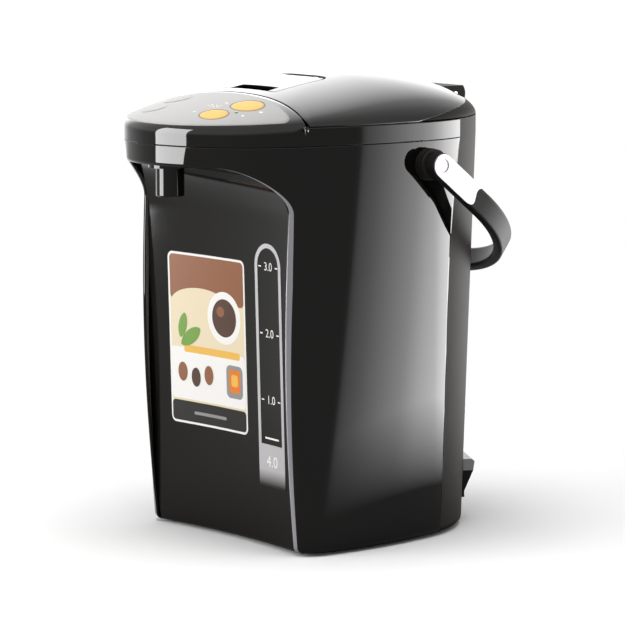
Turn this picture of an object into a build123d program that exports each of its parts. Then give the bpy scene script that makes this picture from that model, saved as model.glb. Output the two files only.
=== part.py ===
"""Electric thermo pot: a free-standing hot water dispenser with an electric pump.

Millimetres. +Z is up, the front (spout and keys) faces -Y, and the origin is the point
on the table under the axis of the round water container, about which the pot turns.
"""

from build123d import *
import os
from math import atan2, cos, hypot, pi, radians, sin, sqrt

os.makedirs("parts", exist_ok=True)

# ------------------------------------------------------------------ driving dimensions
# heights
body_bottom = 2.0            # lower edge of the casing above the table
seam_height = 303.5          # joint between the casing and the head
rim_height = 318.0           # lower edge of the lid
dome_height = 34.0           # lid top above the rim
nose_height = 288.5          # lower edge of the overhanging nose
panel_top = 288.0            # underside of the nose, where the front panel ends

# plan of the casing at the bottom
foot_rear_r = 98.5
foot_half_width = 102.5
foot_widest_y = -42.5
foot_corner_r = 20.0
foot_front = 109.0

# plan of the head, which is also the top of the casing
head_rear_r = 108.0
nose_r = 93.0
nose_reach = 178.0
head_widest_y = -10.0
nose_join = 40.0             # angle from the nose where its flank arc begins

# walls and clearances
wall = 2.6
floor_thick = 3.0
edge_round = 5.0
seam_gap = 0.3
fit = 0.3                    # clearance of moving pieces
snug = 0.15                  # clearance of fixed inserts
running = 0.06               # radial clearance of shafts

# front opening and front panel
opening_foot = 84.0          # half width at the foot
opening_back = 94.0          # how far back the opening cuts the floor
opening_head = 88.0          # half width where the arch begins
arch_r = 34.0
panel_y = 101.0              # distance of the panel's middle from the axis at the foot
panel_lean = 7.0             # how much further forward it stands at the bend
panel_sag = 5.7              # hollow of the panel across its width
panel_bend_r = 42.0          # bend into the underside of the nose
rear_split_foot = 26.5       # where the matt rear cover begins
rear_split_head = 38.5
rear_split_bend = 190.0

# water level gauge
gauge_x = 55.0
gauge_half = 17.0
gauge_border = 3.4
gauge_top = 230.0
gauge_sill = 79.0
gauge_foot = 47.0
gauge_proud = 0.3

# head: gap in front of the lid and control panel
lid_front = 95.5
lid_front_sag = 9.0
lid_front_half = 95.0
lid_gap = 0.8
lid_lift = 0.6               # gap under the lid's lower edge
face_inset = 3.0
face_thick = 1.2
face_rear = 97.5
face_rear_sag = 9.5
face_rear_half = 72.0
face_corner = 7.0
deck_thick = 3.0
deck_front = 98.0
deck_hole_r = 90.5

# keys, as (x, y, half length, half width)
keys = {
    "dispense_key": (42.0, -118.0, 13.3, 11.0),
    "boil_key": (36.0, -144.5, 11.5, 9.5),
    "temperature_key": (-42.0, -118.0, 13.3, 11.0),
    "lock_key": (-36.0, -144.5, 11.5, 9.5),
}
key_proud = 0.5
key_flange = 1.8             # retaining flange round the foot of a key
key_flange_thick = 1.2
key_flange_gap = 0.8         # below the lowest part of the skin over it
key_clear = 1.4              # free travel above the switch
led_at = (47.5, -133.0)
led_r = 1.6
key_board_z = 308.0
board_thick = 1.6
key_board_half = 54.0
key_board_front = 152.0
key_board_rear = 104.0
key_post_points = ((20.0, -109.0), (-20.0, -109.0), (14.0, -148.0), (-14.0, -148.0))
key_post_r = 3.0
key_peg_r = 1.5

# spout
spout_y = -157.5
spout_r = 10.5
spout_bore_r = 4.0
spout_tip = 264.0
spout_collar_r = 16.0

# container, from the inside out
water_r = 80.0
container_wall = 1.0
container_floor = 57.0
container_rim = 305.5
container_flange_r = 95.0
shield_r = 93.0
shield_wall = 0.8
mouth_r = 80.5
mouth_top = 321.0

# lid
lid_plate_z = 323.0
lid_plate_thick = 2.0
plug_r = 75.0
plug_bottom = 311.0
gasket_inner = 81.5
gasket_outer = 88.5
hinge_y = 102.0
hinge_z = 328.5
hinge_pin_r = 2.0
hinge_half = 25.0
hinge_barrel_r = 10.0
hinge_top = 335.0
ear_x = 16.0
ear_thick = 4.0
ear_r = 6.0                  # round end of an ear about the pin
ear_back = 1.5               # how far an ear's shank reaches behind the pin
ear_front = 5.5              # and in front of it
flap_half = 30.0
flap_front = 83.0
flap_rear = 31.0
flap_corner = 10.0           # rear corners of the flap
flap_hole_corner = 6.4       # and of its opening, sharper so that the tilting flap clears it
flap_gap = 0.4
flap_thick = 3.4
flap_pin_y = -37.0
flap_pin_z = 340.8
flap_pin_r = 1.2
flap_end_r = 7.2             # rounded rear end of the flap, about its pin
flap_swing_gap = 1.5         # room behind the flap for its rounded end
notch_half = 22.0
notch_depth = 11.0
tray_floor = 333.0
tray_wall = 1.6

# handle
pivot_z = 286.0
handle_rest = 37.6           # degrees below the horizontal at rest
arm_inner = 117.0
arm_thick = 8.0
strap_width = 18.5
strap_round = 2.5
arm_straight = 52.0
grip_reach = 150.0
boss_r = 12.0
shaft_r = 5.0
plate_thick = 1.2
plate_length = 50.0
dimple_r = 5.0

# swivel base
mat_thick = 1.0
mat_r = 74.0
swivel_r = 78.0
swivel_thick = 3.0
hub_r = 12.0
base_opening_r = 84.0
cover_thick = 2.0
slide_ring = (60.0, 66.0)
slide_clear = 0.05
hub_top = 9.0
retainer_r = 18.0
retainer_thick = 1.5

# pump and tubes under the container
pump_x = 30.0
pump_y = -45.0
pump_r = 24.0
tube_r = 4.5
tube_wall = 0.8
hose_r = 5.5

# power inlet at the lower rear
inlet_angle = 60.0           # degrees round from +X
inlet_half_w = 18.0
inlet_half_h = 15.0
inlet_z = 34.0
inlet_proud = 9.0
inlet_wall = 2.5
hood_height = 9.0


# ------------------------------------------------------------------ plan outlines
def arc_centre_tangent(rear_r, widest_y, radius):
    """Centre of a flank arc of the given radius that is tangent inside to the rear circle."""
    return (-sqrt((radius - rear_r) ** 2 - widest_y**2), widest_y)


foot_flank_r = (foot_half_width**2 + foot_widest_y**2 - foot_rear_r**2) / (
    2 * (foot_half_width - foot_rear_r)
)
foot_flank = arc_centre_tangent(foot_rear_r, foot_widest_y, foot_flank_r)
foot_corner_y = -(foot_front - foot_corner_r)
foot_corner = (
    foot_flank[0] + sqrt((foot_flank_r - foot_corner_r) ** 2 - (foot_corner_y - foot_widest_y) ** 2),
    foot_corner_y,
)
nose_centre_y = -(nose_reach - nose_r)
head_flank_r = (nose_centre_y**2 - 2 * nose_centre_y * head_widest_y + head_rear_r**2 - nose_r**2) / (
    2 * (head_rear_r - nose_r)
)
head_flank = arc_centre_tangent(head_rear_r, head_widest_y, head_flank_r)


def unit(from_point, to_point):
    """Unit vector from one plan point to another."""
    dx = to_point[0] - from_point[0]
    dy = to_point[1] - from_point[1]
    length = hypot(dx, dy)
    return (dx / length, dy / length)


def on_arc(centre, radius, angle):
    """Point of a circle at an angle in radians from +X."""
    return (centre[0] + radius * cos(angle), centre[1] + radius * sin(angle))


def outline_arcs(level, inset):
    """The right half of a plan outline as (centre, radius, start angle, end angle) arcs,
    from the rear to the front: rear arc, flank arc, corner arc."""
    if level == "foot":
        rear_r, flank_r, flank = foot_rear_r, foot_flank_r, foot_flank
        corner_r, corner, last = foot_corner_r, foot_corner, -pi / 2
    else:
        rear_r, flank_r, flank = head_rear_r, head_flank_r, head_flank
        corner_r, corner, last = nose_r, (0.0, nose_centre_y), radians(nose_join - 90)
    rear_join = unit(flank, (0.0, 0.0))
    corner_join = unit(flank, corner)
    rear_angle = atan2(rear_join[1], rear_join[0])
    corner_angle = atan2(corner_join[1], corner_join[0])
    return [
        ((0.0, 0.0), rear_r - inset, pi / 2, rear_angle),
        (flank, flank_r - inset, rear_angle, corner_angle),
        (corner, corner_r - inset, corner_angle, last),
    ]


def outline(level, inset=0.0):
    """Edges of a closed plan outline: mirrored arcs and a front edge."""
    arcs = outline_arcs(level, inset)
    with BuildLine() as made:
        for side in (1, -1):
            for centre, radius, start, end in arcs:
                points = [on_arc(centre, radius, start + (end - start) * part) for part in (0, 0.5, 1)]
                ThreePointArc(*[(side * x, y) for x, y in points])
        centre, radius, start, end = arcs[-1]
        join_x, join_y = on_arc(centre, radius, end)
        if level == "foot":
            Line((join_x, join_y), (-join_x, join_y))
        else:
            ThreePointArc((join_x, join_y), (0, nose_centre_y - radius), (-join_x, join_y))
    return made.edges()


def prism(level, inset, low, high):
    """Upright prism over a plan outline."""
    with BuildPart() as made:
        with BuildSketch(Plane.XY.offset(low)):
            make_face(outline(level, inset))
        extrude(amount=high - low)
    return made.part


def tapered_body(inset, low, high):
    """The casing's form between two heights, its walls straight from foot to head."""
    with BuildPart() as made:
        with BuildSketch(Plane.XY.offset(body_bottom)):
            make_face(outline("foot", inset))
        with BuildSketch(Plane.XY.offset(seam_height)):
            make_face(outline("head", inset))
        loft(ruled=True)
        span = 2 * nose_reach
        with Locations((0, 0, (low + high) / 2)):
            Box(2 * span, 2 * span, high - low, mode=Mode.INTERSECT)
    return made.part


# ------------------------------------------------------------------ dome of the head and lid
rear_bluntness = 1.75        # roundness of the dome over its rim, rear and sides
front_bluntness = 1.2        # the nose slopes more evenly
dome_levels = (0.0, 0.1, 0.22, 0.36, 0.52, 0.68, 0.82, 0.92, 0.98)
dome_points = 40


def reach(angle):
    """Distance from the axis to the head outline in a plan direction."""
    ux, uy = abs(cos(angle)), sin(angle)
    arcs = outline_arcs("head", 0.0)
    for centre, radius in ((arcs[0][0], arcs[0][1]), (arcs[1][0], arcs[1][1]), (arcs[2][0], arcs[2][1])):
        along = ux * centre[0] + uy * centre[1]
        distance = along + sqrt(along**2 - centre[0] ** 2 - centre[1] ** 2 + radius**2)
        x, y = distance * ux, distance * uy
        if centre == (0.0, 0.0) and atan2(y, x) >= arcs[0][3]:
            return distance
        if centre == arcs[1][0] and atan2(y - centre[1], x - centre[0]) >= arcs[1][3]:
            return distance
    return distance


def bluntness(angle):
    """Exponent of the dome's profile in a plan direction."""
    frontness = max(0.0, -sin(angle)) ** 2
    return rear_bluntness - (rear_bluntness - front_bluntness) * frontness


def contour(level, inset):
    """Closed contour line of the dome at a level between its rim (0) and its top (1)."""
    points = []
    for step in range(dome_points):
        angle = 2 * pi * step / dome_points
        power = bluntness(angle)
        radius = (reach(angle) - inset) * (1 - level**power) ** (1 / power)
        points.append((radius * cos(angle), radius * sin(angle)))
    with BuildLine() as made:
        Spline(*points, periodic=True)
    return made.edges()


def dome_body(inset, drop, low):
    """Solid dome lofted over its contour lines, with an upright edge down to a low height."""
    base = rim_height - drop
    with BuildPart() as made:
        with BuildSketch(Plane.XY.offset(low)):
            make_face(contour(0.0, inset))
        extrude(amount=base - low)
        for level in dome_levels:
            with BuildSketch(Plane.XY.offset(base + level * dome_height)):
                make_face(contour(level, inset))
        loft()
    return made.part


# ------------------------------------------------------------------ regions that split the shells
far = 400.0                  # beyond every surface of the pot


def wide_arc(middle_y, half, sag):
    """Three points of an arc that bows rearwards: it drops forward by a sag at a half width,
    and is carried on half as wide again."""
    radius = (half**2 + sag**2) / (2 * sag)
    edge = 1.5 * half
    edge_y = middle_y - (radius - sqrt(radius**2 - edge**2))
    return (-edge, edge_y), (0, middle_y), (edge, edge_y)


def front_region(shift=0.0):
    """Everything in front of the lid's gap, as an upright prism."""
    left, middle, right = wide_arc(shift - lid_front, lid_front_half, lid_front_sag)
    with BuildPart() as made:
        with BuildSketch(Plane.XY.offset(body_bottom)):
            with BuildLine():
                ThreePointArc(left, middle, right)
                Polyline(right, (right[0], -far), (left[0], -far), left)
            make_face()
        extrude(amount=far)
    return made.part


def rear_region(shift):
    """Everything behind the matt rear cover's front edge."""
    foot = (rear_split_foot + shift, 0.0)
    bend = (rear_split_foot + 1.5 + shift, rear_split_bend)
    head = (rear_split_head + shift, seam_height)
    top = (head[0], rim_height + 1)
    with BuildPart() as made:
        with BuildSketch(Plane.YZ):
            with BuildLine():
                Line(foot, bend)
                Spline(bend, head, tangents=((0, 1), (0.25, 1)))
                Polyline(head, top, (far, top[1]), (far, 0), foot)
            make_face()
        extrude(amount=far, both=True)
    return made.part


def opening_region():
    """The front opening of the casing, an arch seen from the front."""
    arch_z = nose_height - arch_r
    with BuildPart() as made:
        with BuildSketch(Plane.XZ.offset(opening_back)):
            with BuildLine() as half:
                Line((opening_foot, 0), (opening_head, arch_z))
                ThreePointArc(
                    (opening_head, arch_z),
                    (opening_head - arch_r * (1 - cos(pi / 4)), arch_z + arch_r * sin(pi / 4)),
                    (opening_head - arch_r, nose_height),
                )
                mirror(about=Plane.YZ)
                Line((opening_head - arch_r, nose_height), (arch_r - opening_head, nose_height))
                Line((opening_foot, 0), (-opening_foot, 0))
            make_face()
        extrude(amount=far)
    return made.part


def cylinder_between(start, end, radius):
    """Round bar between two points."""
    axis = Vector(*end) - Vector(*start)
    with BuildPart() as made:
        with BuildSketch(Plane(origin=start, z_dir=axis)):
            Circle(radius)
        extrude(amount=axis.length)
    return made.part


def ring(inner, outer, low, high, centre=(0, 0)):
    """Upright ring, or a disc when the inner radius is zero."""
    with BuildPart() as made:
        with BuildSketch(Plane.XY.offset(low)):
            with Locations(centre):
                Circle(outer)
                if inner > 0:
                    Circle(inner, mode=Mode.SUBTRACT)
        extrude(amount=high - low)
    return made.part


def save(builder, name):
    """Name a finished piece and write its file."""
    builder.part.label = name
    export_step(builder.part, f"parts/{name}.step")


def block(x_span, y_span, z_span):
    """Box between two values along each axis."""
    spans = (x_span, y_span, z_span)
    with BuildPart() as made:
        with Locations(tuple((low + high) / 2 for low, high in spans)):
            Box(*[high - low for low, high in spans])
    return made.part


# ------------------------------------------------------------------ casing, in two shells
inner_floor = body_bottom + floor_thick
with BuildPart() as casing_shell:
    add(tapered_body(0.0, body_bottom, seam_height))
    fillet(casing_shell.faces().sort_by(Axis.Z)[0].edges(), edge_round)
    add(tapered_body(wall, inner_floor, seam_height), mode=Mode.SUBTRACT)
    add(ring(0, base_opening_r, 0, inner_floor), mode=Mode.SUBTRACT)

screw_circle_r = 88.5
screw_r = 1.5
screw_head_r = 3.0
screw_head_thick = 2.0
screw_length = 12.0
screw_angles = (25, 155, 205, 335)
screw_points = [(screw_circle_r * cos(radians(a)), screw_circle_r * sin(radians(a))) for a in screw_angles]


screw_seat = body_bottom + screw_head_thick + 0.2


def screw_holes():
    """Shank and head clearances of the four bottom screws."""
    with BuildPart() as made:
        for point in screw_points:
            add(ring(0, screw_r + running, 0, screw_seat + screw_length, point))
            add(ring(0, screw_head_r + snug, 0, screw_seat, point))
    return made.part


with BuildPart() as side_casing:
    add(casing_shell.part)
    add(rear_region(-snug), mode=Mode.SUBTRACT)
    add(opening_region(), mode=Mode.SUBTRACT)
    add(block((-far, far), (-far, far), (seam_height - seam_gap, far)), mode=Mode.SUBTRACT)
    add(screw_holes(), mode=Mode.SUBTRACT)
    add(cylinder_between((-far, 0, pivot_z), (far, 0, pivot_z), boss_r + snug), mode=Mode.SUBTRACT)
save(side_casing, "side_casing")

# the matt rear cover runs up past the seam to the lid
inlet_plane = Plane(
    origin=(foot_rear_r * cos(radians(inlet_angle)), foot_rear_r * sin(radians(inlet_angle)), inlet_z),
    x_dir=(-sin(radians(inlet_angle)), cos(radians(inlet_angle)), 0),
    z_dir=(cos(radians(inlet_angle)), sin(radians(inlet_angle)), 0),
)


def inlet_block(half_width, half_height, back, front):
    """Box on the inlet's own plane, between two distances from the cover's foot radius."""
    with BuildPart() as made:
        with BuildSketch(inlet_plane.offset(back)):
            Rectangle(2 * half_width, 2 * half_height)
        extrude(amount=front - back)
    return made.part


head_top = rim_height - lid_lift
deck_low = head_top - deck_thick
with BuildPart() as rear_cover:
    add(casing_shell.part)
    add(prism("head", 0, seam_height, head_top) - prism("head", wall, seam_height, head_top))
    add(rear_region(0), mode=Mode.INTERSECT)
    add(inlet_block(inlet_half_w + snug, inlet_half_h + snug, -20, 20), mode=Mode.SUBTRACT)
    add(screw_holes(), mode=Mode.SUBTRACT)
save(rear_cover, "rear_cover")


# ------------------------------------------------------------------ front panel and gauge
panel_span = 92.0
lean_angle = atan2(panel_lean, panel_top - panel_bend_r - body_bottom)
bend_z = panel_top - panel_bend_r * (1 - sin(lean_angle))


def panel_section(x, front, back, flange):
    """Edges of the front panel's section at x, between two distances behind its face.
    With a flange the foot is rounded and turns under the pot."""
    foot_y = -(panel_y + panel_sag * (x / opening_foot) ** 2)
    bend_y = foot_y - (bend_z - body_bottom) * sin(lean_angle) / cos(lean_angle)
    centre = (bend_y - panel_bend_r * cos(lean_angle), bend_z - panel_bend_r * sin(lean_angle))
    middle = (lean_angle + pi / 2) / 2
    with BuildLine() as made:
        sides = []
        for depth in (front, back):
            radius = panel_bend_r + depth
            start = on_arc(centre, radius, lean_angle)
            end = (centre[0], centre[1] + radius)
            nose = (-nose_reach, end[1])
            ThreePointArc(start, on_arc(centre, radius, middle), end)
            Line(end, nose)
            sides.append((start, nose))
        Line(sides[0][1], sides[1][1])
        front_foot = (foot_y + front, body_bottom)
        back_foot = (foot_y + back, body_bottom)
        if flange:
            rounding = 4.0
            under = (foot_y + rounding + 3.0, body_bottom)
            ThreePointArc(
                (foot_y, body_bottom + rounding),
                (foot_y + rounding * (1 - cos(pi / 4)), body_bottom + rounding * (1 - sin(pi / 4))),
                (foot_y + rounding, body_bottom),
            )
            Line((foot_y, body_bottom + rounding), sides[0][0])
            Polyline(
                (foot_y + rounding, body_bottom), under, (under[0], inner_floor), (back_foot[0], inner_floor)
            )
            Line((back_foot[0], inner_floor), sides[1][0])
        else:
            Line(front_foot, sides[0][0])
            Line(back_foot, sides[1][0])
            Line(front_foot, back_foot)
    return made.edges()


def panel_slab(front, back, flange=False):
    """The hollow front panel's sheet, lofted across the pot through three sections."""
    with BuildPart() as made:
        for x in (-panel_span, 0.0, panel_span):
            with BuildSketch(Plane.YZ.offset(x)):
                make_face(panel_section(x, front, back, flange))
        loft()
    return made.part


def gauge_region(margin, low, back):
    """Upright arch of the water gauge seen from the front, from a back plane forwards."""
    half = gauge_half + margin
    arch_z = gauge_top - gauge_half
    with BuildPart() as made:
        with BuildSketch(Plane.XZ.offset(back)):
            with BuildLine():
                left = (gauge_x - half, low)
                right = (gauge_x + half, low)
                Line(left, right)
                Line(right, (right[0], arch_z))
                ThreePointArc((right[0], arch_z), (gauge_x, arch_z + half), (left[0], arch_z))
                Line((left[0], arch_z), left)
            make_face()
        extrude(amount=far)
    return made.part


cavity_z = (inner_floor, panel_top + wall + 0.5)
gauge_back = 60.0            # behind every part of the gauge
flange_half = opening_foot - snug
flange_space = block((-flange_half, flange_half), (-far, snug - opening_back), (0, inner_floor))
panel_space = tapered_body(wall + fit, *cavity_z) + flange_space
with BuildPart() as front_panel:
    add(panel_slab(0, wall, flange=True))
    add(panel_space, mode=Mode.INTERSECT)
    add(gauge_region(snug, gauge_foot - snug, gauge_back), mode=Mode.SUBTRACT)
    add(ring(0, spout_r + snug, 0, far, (0, spout_y)), mode=Mode.SUBTRACT)
save(front_panel, "front_panel")

with BuildPart() as gauge_frame:
    add(panel_slab(-gauge_proud, wall))
    add(gauge_region(0, gauge_foot, gauge_back), mode=Mode.INTERSECT)
    add(gauge_region(-gauge_border, gauge_sill, gauge_back), mode=Mode.SUBTRACT)
save(gauge_frame, "gauge_frame")

window_set_back = 0.5
with BuildPart() as gauge_window:
    add(panel_slab(window_set_back, wall))
    add(gauge_region(-gauge_border - snug, gauge_sill + snug, gauge_back), mode=Mode.INTERSECT)
save(gauge_window, "gauge_window")

# ------------------------------------------------------------------ head housing and control panel
skin = dome_body(0, 0, seam_height + seam_gap) - dome_body(wall, wall, seam_height - 1)
core = dome_body(wall / 2, wall / 2, seam_height)


def dome_z(x, y, drop=0.0):
    """Height of the dome's surface over a plan point."""
    angle = atan2(y, x)
    power = bluntness(angle)
    spread = hypot(x, y) / reach(angle)
    return rim_height - drop + dome_height * (1 - spread**power) ** (1 / power)


def face_prism(margin):
    """The control panel's outline as an upright prism."""
    left, middle, right = wide_arc(-face_rear - margin, face_rear_half, face_rear_sag)
    with BuildPart() as made:
        with BuildSketch(Plane.XY.offset(seam_height)) as plan:
            with Locations((0, nose_centre_y)):
                Circle(nose_r - face_inset - margin)
            with BuildLine():
                ThreePointArc(left, middle, right)
                Polyline(right, (right[0], -far), (left[0], -far), left)
            make_face(mode=Mode.INTERSECT)
            fillet(plan.vertices(), face_corner)
        extrude(amount=far)
    return made.part


def key_prism(x, y, half_length, half_width, margin, low, high):
    """Upright oval prism of a key."""
    with BuildPart() as made:
        with BuildSketch(Plane.XY.offset(low)):
            with Locations((x, y)):
                Ellipse(half_length + margin, half_width + margin)
        extrude(amount=high - low)
    return made.part


def key_foot(x, y, half_length, half_width):
    """Height of the underside of a key: its flange clears the skin where the dome is lowest."""
    steps = 16
    lowest = far
    for step in range(steps):
        angle = 2 * pi * step / steps
        edge_x = x + (half_length + key_flange) * cos(angle)
        edge_y = y + (half_width + key_flange) * sin(angle)
        lowest = min(lowest, dome_z(edge_x, edge_y, drop=wall))
    return lowest - key_flange_gap - key_flange_thick


bulkhead_thick = 2.4
board_top = key_board_z + board_thick
above_deck = block((-far, far), (-far, far), (head_top, far)) - front_region()
rear_rim = (prism("head", -1, 0, far) - prism("head", wall + snug, 0, far)) & rear_region(-snug)
face_pocket = face_prism(-snug) - dome_body(0, face_thick, seam_height - 1)
deck = block((-far, far), (-deck_front, far), (deck_low, head_top)) & core
below_deck = block((-far, far), (-far, far), (0, deck_low))
bulkhead = (front_region() - front_region(-bulkhead_thick) - below_deck) & core
with BuildPart() as head_housing:
    add(skin)
    add(above_deck, mode=Mode.SUBTRACT)
    add(deck)
    add(bulkhead)
    for point in key_post_points:
        add(ring(0, key_post_r, key_board_z + board_thick, far, point) & core)
        add(ring(0, key_peg_r, key_board_z - board_thick, board_top, point))
    add(rear_rim, mode=Mode.SUBTRACT)
    add(ring(0, deck_hole_r, 0, far), mode=Mode.SUBTRACT)
    add(face_pocket, mode=Mode.SUBTRACT)
    for key in keys.values():
        add(key_prism(*key, fit, seam_height, far), mode=Mode.SUBTRACT)
    add(ring(0, led_r + snug, seam_height, far, led_at), mode=Mode.SUBTRACT)
    for side in (-1, 1):
        ear_gap = ear_thick / 2 + snug
        slot_x = (side * ear_x - ear_gap, side * ear_x + ear_gap)
        slot_y = (hinge_y - ear_front - 0.5, hinge_y + ear_back + 0.5)
        add(block(slot_x, slot_y, (0, far)), mode=Mode.SUBTRACT)
save(head_housing, "head_housing")

with BuildPart() as control_panel:
    add(dome_body(0, 0, seam_height) & face_prism(0))
    add(dome_body(0, face_thick, seam_height - 1), mode=Mode.SUBTRACT)
    for key in keys.values():
        add(key_prism(*key, fit, seam_height, far), mode=Mode.SUBTRACT)
    add(ring(0, led_r + snug, seam_height, far, led_at), mode=Mode.SUBTRACT)
save(control_panel, "control_panel")

raised_dome = dome_body(0, -key_proud, seam_height)
switch_half = 3.0
for name, key in keys.items():
    foot = key_foot(*key)
    with BuildPart() as key_piece:
        add(key_prism(*key, 0, foot, far) & raised_dome)
        add(key_prism(*key, key_flange, foot, foot + key_flange_thick))
    save(key_piece, name)

with BuildPart() as key_switches:
    for key in keys.values():
        x, y = key[:2]
        switch_top = key_foot(*key) - key_clear
        add(block((x - switch_half, x + switch_half), (y - switch_half, y + switch_half),
                  (board_top, switch_top)))
save(key_switches, "key_switches")

with BuildPart() as power_lamp:
    add(ring(0, led_r, board_top, dome_z(*led_at) + key_proud / 2, led_at))
save(power_lamp, "power_lamp")

with BuildPart() as key_board:
    add(block((-key_board_half, key_board_half), (-key_board_front, -key_board_rear),
              (key_board_z, board_top)))
    for point in key_post_points:
        add(ring(0, key_peg_r + running, 0, far, point), mode=Mode.SUBTRACT)
save(key_board, "key_board")

# ------------------------------------------------------------------ spout
spout_at = (0, spout_y)
slab_top = panel_top + wall
collar_height = 2.5
collar_seat = panel_slab(-snug, wall) - ring(0, spout_r + snug, 0, far, spout_at)
with BuildPart() as spout_nozzle:
    add(ring(spout_bore_r, spout_r, spout_tip, slab_top, spout_at))
    add(ring(spout_bore_r, spout_collar_r, panel_top - collar_height, panel_top, spout_at))
    fillet(spout_nozzle.edges().group_by(Axis.Z)[0], 1.0)
    add(collar_seat, mode=Mode.SUBTRACT)
save(spout_nozzle, "spout_nozzle")

hose_z = 299.0
elbow_r = 8.0
elbow_bore_r = 3.0
hose_bore_r = 4.6
stub_r = 4.5
tube_x = gauge_x + 1.0
tube_y = -96.5
tube_at = (tube_x, tube_y)
run = hypot(tube_x, spout_y - tube_y)
run_dir = (tube_x / run, (tube_y - spout_y) / run)
stub_length = 18.0
elbow_flange_r = 13.0
elbow_flange_thick = 2.0


def along_run(distance):
    """Point on the outlet hose's level run, measured from the spout."""
    return (run_dir[0] * distance, spout_y + run_dir[1] * distance, hose_z)


with BuildPart() as spout_elbow:
    add(ring(0, elbow_r, slab_top, hose_z + elbow_bore_r + 2, spout_at))
    add(ring(0, elbow_flange_r, slab_top, slab_top + elbow_flange_thick, spout_at))
    add(cylinder_between((0, spout_y, hose_z), along_run(stub_length), stub_r))
    add(ring(0, elbow_bore_r, slab_top, hose_z, spout_at), mode=Mode.SUBTRACT)
    add(cylinder_between((0, spout_y, hose_z), along_run(stub_length), elbow_bore_r), mode=Mode.SUBTRACT)
save(spout_elbow, "spout_elbow")

valve_r = 9.0
valve_z = (232.0, 258.0)
valve_stub = 12.0
tube_z = (45.0, 240.0)
hose_bend = 14.0


def hose(points, bend, outer, inner):
    """Bent tube along a path with rounded corners."""
    with BuildPart() as made:
        with BuildLine() as path:
            FilletPolyline(*points, radius=bend)
        start = path.line @ 0
        along = path.line % 0
        with BuildSketch(Plane(origin=start, z_dir=along)):
            Circle(outer)
            Circle(inner, mode=Mode.SUBTRACT)
        sweep()
    return made.part


outlet_path = [(*tube_at, valve_z[1]), (*tube_at, hose_z), along_run(elbow_r + 1)]
with BuildPart() as outlet_hose:
    add(hose(outlet_path, hose_bend, hose_r, hose_bore_r))
save(outlet_hose, "outlet_hose")

with BuildPart() as tip_valve:
    add(ring(0, valve_r, *valve_z, tube_at))
    add(ring(0, stub_r, valve_z[1], valve_z[1] + valve_stub, tube_at))
    add(ring(0, elbow_bore_r, 0, far, tube_at), mode=Mode.SUBTRACT)
    add(ring(0, tube_r + running, 0, tube_z[1], tube_at), mode=Mode.SUBTRACT)
save(tip_valve, "tip_valve")

with BuildPart() as level_tube:
    add(ring(tube_r - tube_wall, tube_r, *tube_z, tube_at))
save(level_tube, "level_tube")

# ------------------------------------------------------------------ pump under the container
pump_at = (pump_x, pump_y)
cover_top = inner_floor + cover_thick
motor_r = 18.0
motor_z = (cover_top, 22.0)
bracket_r = (20.0, 22.0)
pump_floor_z = 28.0
pump_floor_thick = 2.0
pump_roof_z = 41.0
pump_wall = 2.5
container_low = container_floor - container_wall
pump_inlet_r = 6.0
riser_z = 35.0
to_tube = hypot(tube_x - pump_x, tube_y - pump_y)
port_dir = ((tube_x - pump_x) / to_tube, (tube_y - pump_y) / to_tube)


def from_pump(distance):
    """Point on the riser's level run, measured from the pump's axis."""
    return (pump_x + port_dir[0] * distance, pump_y + port_dir[1] * distance, riser_z)


with BuildPart() as pump_motor:
    add(ring(0, motor_r, *motor_z, pump_at))
    add(ring(0, 1.5, motor_z[1], motor_z[1] + 1.0, pump_at))
save(pump_motor, "pump_motor")

rotor_r = 14.0
with BuildPart() as motor_rotor:
    add(ring(1.5 + running, rotor_r, motor_z[1] + 0.5, pump_floor_z - 0.8, pump_at))
save(motor_rotor, "motor_rotor")

with BuildPart() as pump_bracket:
    add(ring(*bracket_r, cover_top, pump_floor_z, pump_at))
save(pump_bracket, "pump_bracket")

chamber_z = (pump_floor_z + pump_floor_thick, pump_roof_z - 2.0)
with BuildPart() as pump_cover:
    add(ring(0, pump_r, pump_floor_z, chamber_z[0], pump_at))
    add(ring(0, 1.5, chamber_z[0], chamber_z[1] - 2.0, pump_at))
save(pump_cover, "pump_cover")

impeller_r = 16.0
blade_count = 6
with BuildPart() as impeller:
    add(ring(0, impeller_r, chamber_z[0] + 0.5, chamber_z[0] + 2.5, pump_at))
    add(ring(0, 4, chamber_z[0] + 0.5, chamber_z[1] - 1.0, pump_at))
    for step in range(blade_count):
        blade = Pos(pump_x, pump_y, 0) * Rot(0, 0, step * 360 / blade_count) * block(
            (3, impeller_r - 0.5), (-0.6, 0.6), (chamber_z[0] + 2, chamber_z[1] - 1.0)
        )
        add(blade)
    add(ring(0, 1.5 + running, 0, far, pump_at), mode=Mode.SUBTRACT)
save(impeller, "impeller")

pump_port = 8.0
with BuildPart() as pump_housing:
    add(ring(pump_r - pump_wall, pump_r, chamber_z[0], pump_roof_z, pump_at))
    add(ring(0, pump_r, chamber_z[1], pump_roof_z, pump_at))
    add(ring(0, pump_inlet_r, pump_roof_z, container_low, pump_at))
    add(cylinder_between(from_pump(pump_r - 2), from_pump(pump_r + pump_port), hose_bore_r - 0.1))
    add(ring(0, pump_inlet_r - 2, chamber_z[1] - 1, container_low, pump_at), mode=Mode.SUBTRACT)
    add(cylinder_between(from_pump(pump_r - 4), from_pump(pump_r + pump_port), 3.0), mode=Mode.SUBTRACT)
save(pump_housing, "pump_housing")

riser_path = [from_pump(pump_r + 1), (*tube_at, riser_z), (*tube_at, tube_z[0] + 7)]
with BuildPart() as riser_hose:
    add(hose(riser_path, 8.0, hose_r, hose_bore_r))
save(riser_hose, "riser_hose")

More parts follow.
